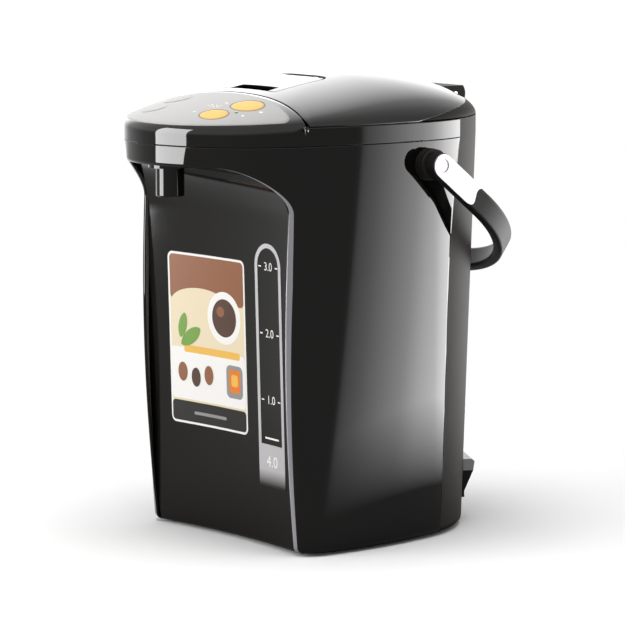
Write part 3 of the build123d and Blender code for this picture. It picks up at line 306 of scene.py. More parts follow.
def split_y(z):
    """Front edge of the matt rear cover: nearly upright, then leaning back above the bend."""
    lower = SPLIT_FOOT + 1.5 * z / SPLIT_BEND
    share = np.clip((z - SPLIT_BEND) / (SEAM_Z - SPLIT_BEND), 0, 1)
    upper = SPLIT_FOOT + 1.5 + (SPLIT_HEAD - SPLIT_FOOT - 1.5) * share**1.8
    return np.where(z < SPLIT_BEND, lower, upper)


def opening_half(z):
    """Half width of the front opening: widening upwards, then a quarter circle."""
    lower = OPENING_FOOT + (OPENING_HEAD - OPENING_FOOT) * z / ARCH_Z
    upper = OPENING_HEAD - ARCH_R + np.sqrt(np.maximum(ARCH_R**2 - (z - ARCH_Z) ** 2, 0))
    return np.where(z < ARCH_Z, lower, upper)


turn = np.linspace(0, np.pi / 2, 8)
round_z = BODY_BOTTOM + EDGE_ROUND * (1 - np.cos(turn))
round_inset = EDGE_ROUND * (1 - np.sin(turn))
side_z = np.linspace(BODY_BOTTOM + EDGE_ROUND, ARCH_Z, 60)[1:]
arch_z = ARCH_Z + ARCH_R * np.sin(np.linspace(0, np.pi / 2, 20))[1:]
band_z = np.append(np.linspace(NOSE_Z, SEAM_Z - 0.6, 7)[1:], SEAM_Z - 0.3)
row_z = np.concatenate([round_z, side_z, arch_z])
row_inset = np.concatenate([round_inset, np.zeros(len(side_z) + len(arch_z))])


def strip_width(z):
    """Width of the pale strip beside the opening, a painted reflection of the edge's chamfer: it narrows into
    a line at the arch.
    """
    return np.interp(z, [0, 60, 200, 254, 280, 289], [2.9, 2.6, 2.0, 1.2, 0.7, 0.5])


def casing_rows(z, inset, front_x):
    """q values of each row: rear edge, strip edge and opening edge, found by bisection."""
    level = level_of(z)
    rear = solve(lambda q: outline(level, q, inset)[1] - split_y(z), np.zeros_like(z), np.full_like(z, 2.0))
    first, last = np.full_like(z, 1.5), np.full_like(z, 4.0)
    edge = solve(lambda q: outline(level, q, inset)[0] - front_x, first, last)
    strip = solve(lambda q: outline(level, q, inset)[0] - (front_x + strip_width(z)), first, last)
    return level, rear, strip, edge


def spread(start, end, count):
    """count shares from start to end for every row, without the last."""
    share = np.linspace(0, 1, count + 1)[:-1]
    return start[:, None] + (end - start)[:, None] * share[None]


def casing_grid():
    """Points of the right half and of the band in front, in millimetres, with their faces and
    the faces' material: 1 on the pale strip, which is a painted reflection of the edge's chamfer."""
    level, rear, strip, edge = casing_rows(row_z, row_inset, opening_half(row_z))
    one, late = np.ones_like(row_z), np.full_like(row_z, LATE_FLANK)
    q = np.concatenate([spread(rear, one, 14), spread(one, late, 36), spread(late, strip, 30),
                        spread(strip, edge, STRIP_COLUMNS), edge[:, None]], 1)
    x, y = outline(level[:, None], q, row_inset[:, None])
    side = np.stack([x, y, np.broadcast_to(row_z[:, None], x.shape)], -1)
    columns = side.shape[1]
    faces = grid_faces(*side.shape[:2])
    kind = np.tile((np.arange(columns - 1) >= columns - 1 - STRIP_COLUMNS).astype(int), len(row_z) - 1)
    # the band: same columns, then on to the middle of the nose
    z = np.concatenate([[NOSE_Z], band_z])
    arch_end = np.full_like(z, OPENING_HEAD - ARCH_R)
    level_b, rear_b, strip_b, edge_b = casing_rows(z, np.zeros_like(z), arch_end)
    one, late, last = np.ones_like(z), np.full_like(z, LATE_FLANK), np.full_like(z, 4.0)
    q_b = np.concatenate([spread(rear_b, one, 14), spread(one, late, 36), spread(late, strip_b, 30),
                          spread(strip_b, edge_b, STRIP_COLUMNS), spread(edge_b, last, 20), last[:, None]], 1)
    upright = np.clip((q_b - edge_b[:, None]) / UPRIGHT_BLEND, 0, 1)
    upright = upright**2 * (3 - 2 * upright)
    xb, yb = outline(level_b[:, None] + (1 - level_b[:, None]) * upright, q_b)
    band = np.stack([xb, yb, np.broadcast_to(z[:, None], xb.shape)], -1)
    band_faces = grid_faces(*band.shape[:2]) + side.shape[0] * columns
    points = np.concatenate([side.reshape(-1, 3), band.reshape(-1, 3)])
    all_kinds = np.concatenate([kind, np.zeros(len(band_faces), int)])
    return points, np.concatenate([faces, band_faces]), all_kinds


def mirrored(points, faces, kind=None):
    """Add the left half: x turned over and the faces' order with it."""
    left = points * np.array([-1, 1, 1])
    both = np.concatenate([points, left])
    all_faces = np.concatenate([faces, faces[:, ::-1] + len(points)])
    return (both, all_faces) if kind is None else (both, all_faces, np.concatenate([kind, kind]))


points, faces, kind = mirrored(*casing_grid())
# the second material paints the pale strip beside the opening: a painted reflection of the edge's chamfer
make_piece("side_casing_shell", points, faces, "pot", piano_black, replaces=["side_casing"],
           slot="gloss_black", thick=WALL, outward=Vector((0, 0, 0.15)),
           more_materials=(silver_plate_and_edge_sheen,), face_slots=kind)

# %% [markdown]
# ## The dome of head and lid
# One smooth dome covers both. Over every plan point its height is
# rim + dome height * (1 - s^n)^(1/n), where s is the share of the way from the axis to the head's
# outline and n grows from 1.2 at the nose to 1.75 at the sides and the rear, so the nose slopes
# evenly and the rear stands rounder.

# %% Height of the dome
def reach(angle):
    """Distance from the axis to the head's outline: the outermost arc that owns the direction."""
    ux, uy = np.abs(np.cos(angle)), np.sin(angle)
    found = np.zeros_like(ux)
    taken = np.zeros(ux.shape, bool)
    for index, (cx, cy, r, _, last) in enumerate(HEAD_ARCS):
        along = ux * cx + uy * cy
        distance = along + np.sqrt(np.maximum(along**2 - cx**2 - cy**2 + r**2, 0))
        x, y = distance * ux, distance * uy
        owns = np.arctan2(y - cy, x - cx) >= last if index < 2 else np.ones(ux.shape, bool)
        found = np.where(~taken & owns, distance, found)
        taken |= owns
    return found


def blunt(angle):
    """The exponent n of the dome in a plan direction."""
    return 1.75 - 0.55 * np.maximum(0, -np.sin(angle)) ** 2


def dome_z(x, y):
    """Height of the dome over plan points, in millimetres."""
    angle = np.arctan2(y, x)
    n = blunt(angle)
    s = np.clip(np.hypot(x, y) / reach(angle), 0, 1)
    return RIM_Z + DOME_H * 0.98 * (1 - s**n) ** (1 / n)


def head_outline(angle):
    """Plan point of the head's outline in a direction from the axis."""
    return reach(angle) * np.cos(angle), reach(angle) * np.sin(angle)


GAP_MIDDLE, GAP_HALF, GAP_SAG, LID_GAP = -95.5, 95.0, 9.0, 1.8
GAP_R = (GAP_HALF**2 + GAP_SAG**2) / (2 * GAP_SAG)
RIM_TURN, RIM_DROP = 6.0, 7.0
SEAM_ROWS, SEAM_INSETS = (0.2, 0.4, 0.7, 4.0, 6.0), (0.3, 0.0, 0.0, 0.0, 0.0)


def gap_y(x, shift=0.0):
    """The gap in front of the lid: a wide arc in plan."""
    return GAP_MIDDLE + shift - (GAP_R - np.sqrt(GAP_R**2 - x**2))


# %% [markdown]
# ## Head housing
# The part in front of the lid: an upright wall from the seam to the rim, then the sloping nose.
# Each column runs up the wall, then from the outline to the lid's gap.

# %% Nose and head wall
def head_front():
    """Grid: columns go round the nose from gap to gap, rows climb the wall, turn over a rounded
    edge and follow the dome to the gap. The edge is a quadratic curve between wall and dome:
    upright where it leaves the wall, tangent to the dome a little way in."""
    gap_angle = solve(lambda a: reach(a) * np.sin(a) - gap_y(reach(a) * np.cos(a)),
                      np.array([-0.35]), np.array([-0.2 - np.pi / 2]))[0]
    angle = gap_angle + (-np.pi - 2 * gap_angle) * np.linspace(0, 1, 110)
    ox, oy = head_outline(angle)
    gy = gap_y(ox)
    depth = np.maximum(gy - oy, 0)
    away = np.minimum(RIM_TURN, depth * 0.6)
    share = away / np.maximum(depth, 1e-6)
    in_y = oy + depth * share
    top = dome_z(ox, in_y)
    rise = (top - dome_z(ox, oy + depth * share * 0.98)) / 0.02
    low = RIM_Z - RIM_DROP * away / RIM_TURN
    wall_z = np.stack([*(np.full_like(ox, SEAM_Z + rise_mm) for rise_mm in SEAM_ROWS), low])
    inset = np.array([*SEAM_INSETS, 0.0])[:, None]
    scale = 1 - inset / np.hypot(ox, oy)[None]
    wall = np.stack([ox * scale, oy * scale, wall_z], -1)
    t = np.linspace(0, 1, 13)[1:, None]
    turn_y = oy + (in_y - oy) * t**2
    turn_z = (1 - t) ** 2 * low + 2 * t * (1 - t) * (top - rise) + t**2 * top
    edge_rows = np.stack([np.broadcast_to(ox, turn_y.shape), turn_y, turn_z], -1)
    u = np.linspace(0, 1, 30)[1:, None]
    py = in_y + (gy - in_y) * u
    px = np.broadcast_to(ox, py.shape)
    slope = np.stack([px, py, dome_z(px, py)], -1)
    lip = slope[-1:] - np.array([0, 0, 3.0])
    return np.concatenate([wall, edge_rows, slope, lip])


def side_wall():
    """The head's wall beside the lid, from the gap back to the rear cover, right half."""
    def past_gap(q):
        x, y = outline(1.0, q)
        return y - gap_y(x)

    q_gap = solve(past_gap, np.array([0.5]), np.array([3.5]))[0]
    q_rear = solve(lambda q: outline(1.0, q)[1] - SPLIT_HEAD, np.array([0.0]), np.array([2.0]))[0]
    q = np.concatenate([np.linspace(q_rear, 1, 14), np.linspace(1, q_gap, 40)[1:]])
    x, y = outline(1.0, q)
    z = np.array([*(SEAM_Z + rise_mm for rise_mm in SEAM_ROWS), 313.0, 316.6, 316.9, 317.4, 317.4])
    inset = np.array([*SEAM_INSETS, 0.0, 0.0, 0.0, 0.4, 6.0])
    scale = 1 - inset[:, None] / np.hypot(x, y)[None]
    return np.stack([x[None] * scale, y[None] * scale, np.broadcast_to(z[:, None], scale.shape)], -1)


front = head_front()
wall = side_wall()
wall_points, wall_faces = mirrored(wall.reshape(-1, 3), grid_faces(*wall.shape[:2]))
points = np.concatenate([front.reshape(-1, 3), wall_points])
faces = np.concatenate([grid_faces(*front.shape[:2]), wall_faces + front.shape[0] * front.shape[1]])
make_piece("head_housing_shell", points, faces, "pot", piano_black, slot="gloss_black",
           outward=Vector((0, -0.06, 0.29)))

# %% [markdown]
# ## Lid
# The lid's top runs from the flap's opening out to its edge, so the opening is a real hole with a
# clean rim. Columns go round the flap's centre, rows from the opening to the edge.

# %% Lid cover and flap
FLAP_HALF, FLAP_FRONT, FLAP_REAR, FLAP_CORNER, NOTCH_DEPTH = 30.0, -83.0, -31.0, 8.0, 11.0
FLAP_CENTRE_Y = -57.0
FLAP_PIN_Y, FLAP_PIN_Z, FLAP_END_R = -37.0, 340.8, 7.2     # the rear end is round about the pin


def rounded_box(half, low, high, corner_low, corner_high, count=24):
    """Closed outline of a box in plan with rounded corners, from the right side, anticlockwise."""
    quarter = np.linspace(0, np.pi / 2, count)
    high_x, low_x = half - corner_high, half - corner_low
    high_y, low_y = high - corner_high, low + corner_low
    corners = [(high_x, high_y, corner_high, 0), (-high_x, high_y, corner_high, 1),
               (-low_x, low_y, corner_low, 2), (low_x, low_y, corner_low, 3)]
    return np.concatenate([
        np.stack([cx + r * np.cos(quarter + k * np.pi / 2), cy + r * np.sin(quarter + k * np.pi / 2)], -1)
        for cx, cy, r, k in corners
    ])


def densify(loop, step):
    """Closed loop with extra points so that none of its sides is longer than a step."""
    ends = np.roll(loop, -1, 0)
    pieces = [a + (b - a) * np.linspace(0, 1, max(2, int(np.hypot(*(b - a)) / step) + 1))[:-1, None]
              for a, b in zip(loop, ends) if np.hypot(*(b - a)) > 1e-9]
    return np.concatenate(pieces)


def band_height(y):
    """Upper edge of the matt band round the back of the lid: the lid's gloss begins there."""
    return np.interp(y, [-90, -5.01, -5, 35, 84, 120], [318.3, 318.3, 319.0, 325.0, 329.2, 330.2])


def lid_edge(angle):
    """Distance from the flap's centre to the lid's outer edge, which is the nearest of the dome's
    contour at the edge's height, the gap in front and the hinge block's notch behind."""
    ux, uy = np.cos(angle), np.sin(angle)

    def outside(distance):
        x, y = distance * ux, FLAP_CENTRE_Y + distance * uy
        around = np.arctan2(y, x)
        n = blunt(around)
        level = (band_height(y) - RIM_Z) / (DOME_H * 0.98)
        limit = reach(around) * (1 - np.clip(level, 0, 1) ** n) ** (1 / n)
        past_gap = y - gap_y(np.clip(x, -140, 140), LID_GAP)
        behind = np.where(np.abs(x) < 25.4, 85.6 - y, 100.0)
        return np.minimum(np.minimum(limit - np.hypot(x, y), past_gap), behind)

    return solve(outside, np.full_like(angle, 30.0), np.full_like(angle, 240.0))


HOLE_GAP, HOLE_REAR_GAP = 0.9, 1.4
HOLE_FRONT_CORNER, HOLE_REAR_CORNER = 2.6, FLAP_CORNER - 0.4
hole = rounded_box(FLAP_HALF + HOLE_GAP, FLAP_FRONT - HOLE_GAP, FLAP_REAR + HOLE_REAR_GAP,
                   HOLE_FRONT_CORNER, HOLE_REAR_CORNER)
hole = densify(hole, 1.2)
hole_angle = np.arctan2(hole[:, 1] - FLAP_CENTRE_Y, hole[:, 0])
edge = lid_edge(hole_angle)
outer = np.stack([edge * np.cos(hole_angle), FLAP_CENTRE_Y + edge * np.sin(hole_angle)], -1)
dense_end = 1 - 0.04 * np.linspace(0, 1, 9)[::-1][1:] ** 2
share = np.concatenate([[0, 0.004], np.linspace(0.02, 0.96, 44), dense_end])
lid_rows = hole[None] + (outer - hole)[None] * share[:, None, None]
lid_top = np.concatenate([lid_rows, dome_z(lid_rows[..., 0], lid_rows[..., 1])[..., None]], -1)
inner_lip = lid_top[:1] - np.array([0, 0, 4.0])
outer_lip = lid_top[-1:] * np.array([0.99, 0.99, 1.0]) - np.array([0, 0, 1.2])
lid_top = np.concatenate([inner_lip, lid_top, outer_lip])
grid_piece("lid_cover_shell", lid_top, "lid", piano_black, wrap=True, replaces=["lid_cover"],
           slot="gloss_black", outward=Vector((0, 0, 0.28)))


def flap_grid():
    """Columns across the flap; each runs from its front edge, set back at the finger notch, to
    the rear edge with its rounded corners."""
    tip, front_r = FLAP_HALF, 2.0
    x = np.concatenate([
        tip * np.cos(np.linspace(0, 0.65, 10)), np.linspace(22.5, 21.6, 3), np.linspace(20, -20, 31),
        np.linspace(-21.6, -22.5, 3), -tip * np.cos(np.linspace(0.65, 0, 10)),
    ])
    notch = np.clip((22.5 - np.abs(x)) / 0.9, 0, 1)
    past_corner = np.maximum(np.abs(x) - tip + front_r, 0)
    corner_arc = np.sqrt(np.maximum(front_r**2 - past_corner**2, 0))
    front_edge = FLAP_FRONT + NOTCH_DEPTH * notch + front_r - corner_arc
    rear_edge = FLAP_REAR - 0.6 - FLAP_CORNER + np.sqrt(
        np.maximum(FLAP_CORNER**2 - np.maximum(np.abs(x) - tip + FLAP_CORNER, 0) ** 2, 0))
    t = np.concatenate([[0, 0.02], np.linspace(0.06, 0.94, 24), [0.98, 1]])[:, None]
    y = front_edge + (rear_edge - front_edge) * t
    xx = np.broadcast_to(x, y.shape)
    behind = np.maximum(y - FLAP_PIN_Y, 0)
    round_end = FLAP_PIN_Z + np.sqrt(np.maximum(FLAP_END_R**2 - behind**2, 0))
    return np.stack([xx, y, np.where(behind > 0, np.minimum(dome_z(xx, y), round_end), dome_z(xx, y))], -1)


flap = flap_grid()
grid_piece("release_flap_plate", flap, "flap", piano_black, replaces=["release_flap"],
           slot="gloss_black", thick=2.2, bevel=0.35, outward=Vector((0, -0.057, 0.3)))

# %% [markdown]
# ## Control panel and keys
# A silver-lacquered blade follows the dome, let into the nose. Its tips are rounded by a circle
# that touches both edges. The keys are oval domes, each in a thin dark line.

# %% Blade outline and surface
FACE_R, FACE_REAR, FACE_SAG_R, TIP_R = 90.0, -97.5, 277.6, 7.0


def face_outline(count=60):
    """Closed outline of the blade: front circle, right tip, rear arc, left tip."""
    rear_centre = FACE_REAR - FACE_SAG_R
    difference = (FACE_SAG_R - TIP_R) ** 2 - (FACE_R - TIP_R) ** 2
    tip_y = (difference - rear_centre**2 + NOSE_Y**2) / (2 * (NOSE_Y - rear_centre))
    tip_x = math.sqrt((FACE_R - TIP_R) ** 2 - (tip_y - NOSE_Y) ** 2)
    a_front = math.atan2(tip_y - NOSE_Y, tip_x)
    a_rear = math.atan2(tip_y - rear_centre, tip_x)
    front_arc = np.linspace(-math.pi - a_front, a_front, count * 2)
    tip_arc = np.linspace(a_front, a_rear, 14)[1:]
    rear_arc = np.linspace(a_rear, math.pi - a_rear, count)[1:]
    left_arc = np.linspace(math.pi - a_rear, math.pi - a_front, 14)[1:-1]
    arcs = [(0, NOSE_Y, FACE_R, front_arc), (tip_x, tip_y, TIP_R, tip_arc),
            (0, rear_centre, FACE_SAG_R, rear_arc), (-tip_x, tip_y, TIP_R, left_arc)]
    return np.concatenate([np.stack([cx + r * np.cos(a), cy + r * np.sin(a)], -1) for cx, cy, r, a in arcs])


def dome_patch(loop, centre, rise, rows=28, side=1.5):
    """Plate on the dome inside a closed outline, raised a little, with its edge turned down."""
    loop, centre = np.asarray(loop), np.asarray(centre, float)
    t = np.linspace(0, 1, rows)[:, None, None] ** 0.8
    plan = centre + (loop - centre)[None] * t
    z = dome_z(plan[..., 0], plan[..., 1])[..., None] + rise
    top = np.concatenate([plan, z], -1)
    return np.concatenate([top, top[-1:] - np.array([0, 0, side])])


blade = dome_patch(face_outline(), (0, -130), 0.12)
grid_piece("control_panel_blade", blade, "pot", silver_lacquer, wrap=True, replaces=["control_panel"],
           slot="silver_paint", outward=Vector((0, -0.13, 0.29)))

# %% [markdown]
# The two keys on the right are yellow and ringed by a printed line. The two on the left are
# lacquered like the blade, so a dark line stands for the shadow of their edge at the front right.
# Each key is an oval cushion: a flat crown that falls off towards the rim. Lamp and marks are
# small ovals laid on the dome.

# %% Keys, lamp and printed marks
KEYS = {
    "dispense_key": (42.0, -118.0, 13.3, 11.0, key_yellow, "yellow_key"),
    "boil_key": (36.0, -144.5, 11.5, 9.5, key_yellow, "yellow_key"),
    "temperature_key": (-42.0, -118.0, 13.3, 11.0, silver_lacquer, "silver_paint"),
    "lock_key": (-36.0, -144.5, 11.5, 9.5, silver_lacquer, "silver_paint"),
}
SILVER_KEY_SHADOW_ARC = (-95.0, 5.0)     # the arc, in degrees, of the painted shadow at the front right edge of the silver keys
KEY_RHO = np.array([0.02, 0.3, 0.55, 0.75, 0.88, 0.94, 0.975, 1.0, 1.0])[:, None]
KEY_RISE = np.array([0.45, 0.45, 0.44, 0.42, 0.38, 0.3, 0.15, -0.2, -3.0])[:, None]
RING_RHO = np.array([1.0, 1.09])[:, None]
around = np.linspace(0, 2 * np.pi, 73)[:-1]
for key_name, (kx, ky, ka, kb, key_material, key_slot) in KEYS.items():
    x = kx + ka * KEY_RHO * np.cos(around)
    y = ky + kb * KEY_RHO * np.sin(around)
    key = np.stack([x, y, dome_z(x, y) + KEY_RISE], -1)
    grid_piece(f"{key_name}_cap", key, key_name, key_material, wrap=True, replaces=[key_name],
               slot=key_slot, outward=Vector((kx * MM, ky * MM, 0.31)))
    whole = key_material is key_yellow
    line_turn = around if whole else np.radians(np.linspace(*SILVER_KEY_SHADOW_ARC, 24))
    x = kx + (ka * RING_RHO + 0.2) * np.cos(line_turn)
    y = ky + (kb * RING_RHO + 0.2) * np.sin(line_turn)
    ring = np.stack([x, y, dome_z(x, y) + 0.2], -1)
    # on the silver keys this line is a painted shadow of their front right edge; on the yellow keys it is a
    # printed ring
    grid_piece(f"{key_name}_line", ring, "pot", key_rim if whole else key_shadow, wrap=whole,
               thick=0.05, outward=Vector((0, 0, -10)))


def plan_disc(x, y, half_x, half_y, count=28):
    """Small oval outline in plan."""
    a = np.linspace(0, 2 * np.pi, count + 1)[:-1]
    return np.stack([x + half_x * np.cos(a), y + half_y * np.sin(a)], -1)


lamp = dome_patch(plan_disc(47.5, -133, 1.6, 1.6), (47.5, -133), 0.3, rows=4)
grid_piece("power_lamp_lens", lamp, "pot", lamp_green, wrap=True, slot="green_lamp",
           outward=Vector((0.0475, -0.133, 0.3)))
MARKS = [(x, y, 1.5, 0.7) for y in (-128.5, -131.5) for x in (14, 19, 24)] + [
    (62.0, -121.0, 1.6, 1.6), (22.0, -121.5, 2.0, 0.8), (57.0, -134.0, 1.3, 1.3), (16.0, -147.0, 2.0, 0.8)]
for index, (mx, my, mhx, mhy) in enumerate(MARKS):
    mark = dome_patch(plan_disc(mx, my, mhx, mhy, 14), (mx, my), 0.17, rows=2, side=0.05)
    grid_piece(f"panel_mark_{index:02d}", mark, "pot", ink_white, wrap=True,
               outward=Vector((mx * MM, my * MM, 0.3)))

# %% [markdown]
# ## Hollow front
# One sheet: a rounded foot, a face that leans forward a little, a wide bend and the underside
# of the nose. Across the pot it is hollow like the back of a spoon. Every row ends where it
# meets the inside of the casing.

# %% Front panel
PANEL_Y, PANEL_LEAN, PANEL_SAG, BEND_R, PANEL_TOP, FOOT_ROUND = 101.0, 7.0, 5.7, 42.0, 288.0, 4.0
LEAN = math.atan2(PANEL_LEAN, PANEL_TOP - BEND_R - BODY_BOTTOM)
BEND_Z = PANEL_TOP - BEND_R * (1 - math.sin(LEAN))
BEND_DEPTH = -(BEND_Z - BODY_BOTTOM) * math.tan(LEAN)
NOSE_INNER = -174.8


def panel_foot_y(x):
    """Foot line of the panel: a parabola across the pot."""
    return -(PANEL_Y + PANEL_SAG * (x / OPENING_FOOT) ** 2)


def lean_depth(z):
    """How far the leaning face stands in front of its foot: in proportion to the height."""
    return BEND_DEPTH * (z - BODY_BOTTOM - FOOT_ROUND) / (BEND_Z - BODY_BOTTOM - FOOT_ROUND)


def panel_y(x, z):
    """The panel's face on its leaning part."""
    return panel_foot_y(x) + lean_depth(z)


def front_limit(x, level, inset):
    """y of the casing's inside in front, at a given x."""
    q = solve(lambda q: outline(level, q, inset)[0] - x, np.full_like(x, 1.5), np.full_like(x, 4.0))
    return outline(level, q, inset)[1]


def front_grid():
    """Rows climb the section, columns go across; the last rows run on to the tip of the nose."""
    turn = np.linspace(0, np.pi / 2, 8)
    bend = np.linspace(LEAN, np.pi / 2, 26)[1:]
    face_z = np.linspace(BODY_BOTTOM + FOOT_ROUND, BEND_Z, 60)[1:]
    depth = np.concatenate([
        FOOT_ROUND * (1 - np.sin(turn)),
        lean_depth(face_z),
        BEND_DEPTH - BEND_R * (math.cos(LEAN) - np.cos(bend)),
        np.full(14, BEND_DEPTH - BEND_R * math.cos(LEAN)),
    ])
    z = np.concatenate([
        BODY_BOTTOM + FOOT_ROUND * (1 - np.cos(turn)), face_z,
        BEND_Z + BEND_R * (np.sin(bend) - math.sin(LEAN)), np.full(14, PANEL_TOP),
    ])
    run = np.concatenate([np.zeros(len(z) - 14), np.linspace(0, 1, 15)[1:]])

    def row_y(x):
        return (1 - run) * (panel_foot_y(x) + depth) + run * NOSE_INNER

    def past_casing(x):
        return row_y(x) - front_limit(x, level_of(z), WALL + 0.3)

    half = solve(past_casing, np.full_like(z, 2.0), np.full_like(z, 104.0))
    share = np.sin(np.linspace(-np.pi / 2, np.pi / 2, 71))
    x = half[:, None] * share[None]
    y = (1 - run)[:, None] * (panel_foot_y(x) + depth[:, None]) + run[:, None] * NOSE_INNER
    return np.stack([x, y, np.broadcast_to(z[:, None], x.shape)], -1)


hollow = front_grid()
grid_piece("front_panel_sheet", hollow, "pot", hollow_black, replaces=["front_panel"],
           slot="gloss_black", thick=WALL, outward=Vector((0, 0, 0.31)))

# %% [markdown]
# ## Printing on the front
# Flat shapes are drawn in (x, z) and laid on the panel with a small lift, so that print and
# sticker follow its curve. The sticker shows plain shapes only, no lettering.

# %% Lay shapes on the panel
def panel_patch(name, loop, lift, material, centre=None, rows=7, side=0.0):
    """Flat closed shape in (x, z), laid on the panel as rings round its centre."""
    loop = np.asarray(loop, float)
    centre = loop.mean(0) if centre is None else np.asarray(centre, float)
    t = np.linspace(0, 1, rows)[:, None, None]
    plan = centre + (loop - centre)[None] * t
    y = panel_y(plan[..., 0], plan[..., 1]) - lift
    points = np.stack([plan[..., 0], y, plan[..., 1]], -1)
    if side:
        points = np.concatenate([points, points[-1:] + np.array([0, side, 0])])
    return grid_piece(name, points, "pot", material, wrap=True, outward=Vector((0, 10, 0)))


def rounded(x0, x1, z0, z1, r):
    """Closed outline of a rounded box in (x, z) with extra points along its sides."""
    loop = rounded_box((x1 - x0) / 2, z0, z1, r, r, 8) + np.array([(x0 + x1) / 2, 0])
    return densify(loop, 4.0)


def oval(x, z, half_x, half_z, count=40):
    """Closed oval in (x, z)."""
    a = np.linspace(0, 2 * np.pi, count + 1)[:-1]
    return np.stack([x + half_x * np.cos(a), z + half_z * np.sin(a)], -1)


def leaf(x, z, length, width, turn_deg, count=24):
    """Leaf shape: two arcs that meet in points."""
    t = np.linspace(0, np.pi, count)
    upper = np.stack([-np.cos(t) * length / 2, np.sin(t) ** 1.3 * width / 2], -1)
    loop = np.concatenate([upper, upper[::-1][1:-1] * np.array([1, -1])])
    a = math.radians(turn_deg)
    spin = np.array([[math.cos(a), math.sin(a)], [-math.sin(a), math.cos(a)]])
    return loop @ spin + np.array([x, z])


# %% [markdown]
# The sticker is built up like a paper collage: each printed area is a thin sheet of its own,
# a little in front of the one before, from the white border up to the stripe on the dark band.

# %% Sticker: a generic picture of a disc, leaves, beans and tiles
paper_white = plastic("sticker_paper_white", "#eeece8", 0.3, mottle=0.03)
print_cream = plastic("sticker_print_cream", "#e4d5b4", 0.3, mottle=0.03)
print_brown = plastic("sticker_print_brown", "#8a5636", 0.3, mottle=0.03)
print_dark_brown = plastic("sticker_print_dark_brown", "#4a2f20", 0.3, mottle=0.03)
print_grey = plastic("sticker_print_grey", "#8d8c8c", 0.3, mottle=0.03)
print_orange = plastic("sticker_print_orange", "#dd7a22", 0.3, mottle=0.03)
print_amber = plastic("sticker_print_amber", "#e8b54c", 0.3, mottle=0.03)
print_green = plastic("sticker_print_green", "#6f9a3a", 0.3, mottle=0.03)
print_black = plastic("sticker_print_black", "#161412", 0.3, mottle=0.03)

STICKER = (-66.0, 24.0, 82.0, 214.0)
sx0, sx1, sz0, sz1 = STICKER
sheets = [
    ("border", rounded(sx0, sx1, sz0, sz1, 5.0), paper_white),
    ("picture", rounded(sx0 + 1.8, sx1 - 1.8, sz0 + 1.8, sz1 - 1.8, 3.6), print_cream),
    ("brown_field", rounded(sx0 + 1.8, sx1 - 1.8, 178.0, sz1 - 1.8, 3.6), print_brown),
    ("hill", oval(-30, 176, 33.0, 12.0), print_cream),
    ("disc", oval(-2, 168, 20.0, 20.0), paper_white),
    ("disc_core", oval(-2, 168, 14.5, 14.5), print_dark_brown),
    ("disc_gloss", oval(-6.5, 172.5, 4.6, 4.0), print_brown),
    ("white_field", rounded(sx0 + 1.8, sx1 - 1.8, 101.0, 141.0, 3.0), paper_white),
    ("amber_stripe", rounded(-50, 16, 137.5, 143.0, 2.0), print_amber),
    ("leaf_right", leaf(-42, 150, 26.0, 11.0, 32), print_green),
    ("leaf_left", leaf(-51, 158, 20.0, 9.0, 74), print_green),
    ("grey_tile", rounded(-1, 19, 108.0, 133.0, 4.5), print_grey),
    ("orange_tile", rounded(2, 16, 112.0, 130.0, 3.0), print_orange),
    ("amber_tile", rounded(5, 13, 117.0, 126.0, 2.0), print_amber),
    ("bean_left", oval(-52, 122, 5.2, 7.4), print_brown),
    ("bean_middle", oval(-37, 119, 5.2, 7.4), print_dark_brown),
    ("bean_right", oval(-22, 122, 5.2, 7.4), print_brown),
    ("band", rounded(sx0 + 1.8, sx1 - 1.8, sz0 + 1.8, 99.5, 3.0), print_black),
    ("band_stripe", rounded(-40, -2, 90.0, 92.4, 1.0), print_grey),
]
STICKER_LIFT, SHEET_STEP = 0.08, 0.02
for index, (part, loop, material) in enumerate(sheets):
    panel_patch(f"sticker_{part}", loop, STICKER_LIFT + SHEET_STEP * index, material,
                rows=16 if index < 2 else 8)

# %% [markdown]
# The scale is printed down the middle of the gauge: plain numbers with a tick on each side, and
# a bar for the lowest filling. The largest number stands at the foot of the frame. Numbers are
# drawn as text, turned into a flat mesh and laid on the panel's face.

# %% Gauge scale
def figure_mesh(text, height, cx, cz, lift):
    """A plain number as a flat mesh, laid on the panel; returns points and faces."""
    curve = bpy.data.curves.new("figures", "FONT")
    curve.body = text
    curve.size = height / 0.7
    curve.align_x, curve.align_y = "CENTER", "CENTER"
    holder = bpy.data.objects.new("figures", curve)
    bpy.context.scene.collection.objects.link(holder)
    flat = holder.to_mesh()
    flat_points = np.zeros(len(flat.vertices) * 3)
    flat.vertices.foreach_get("co", flat_points)
    flat_faces = [list(face.vertices) for face in flat.polygons]
    holder.to_mesh_clear()
    bpy.data.objects.remove(holder)
    bpy.data.curves.remove(curve)
    flat_points = flat_points.reshape(-1, 3)
    x = flat_points[:, 0] + cx
    z = flat_points[:, 1] + cz
    return np.stack([x, panel_y(x, z) - lift, z], -1), flat_faces


def ink_piece(name, points, faces, material):
    """Flat print from points in millimetres, facing forwards."""
    mesh = bpy.data.meshes.new(name)
    mesh.from_pydata((points * MM).tolist(), [], faces)
    mesh.materials.append(material)
    work = bmesh.new()
    work.from_mesh(mesh)
    for face in work.faces:
        face.normal_update()
        if face.normal.y > 0:
            face.normal_flip()
    work.to_mesh(mesh)
    work.free()
    piece = bpy.data.objects.new(name, mesh)
    bpy.context.scene.collection.objects.link(piece)
    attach(piece, "pot")


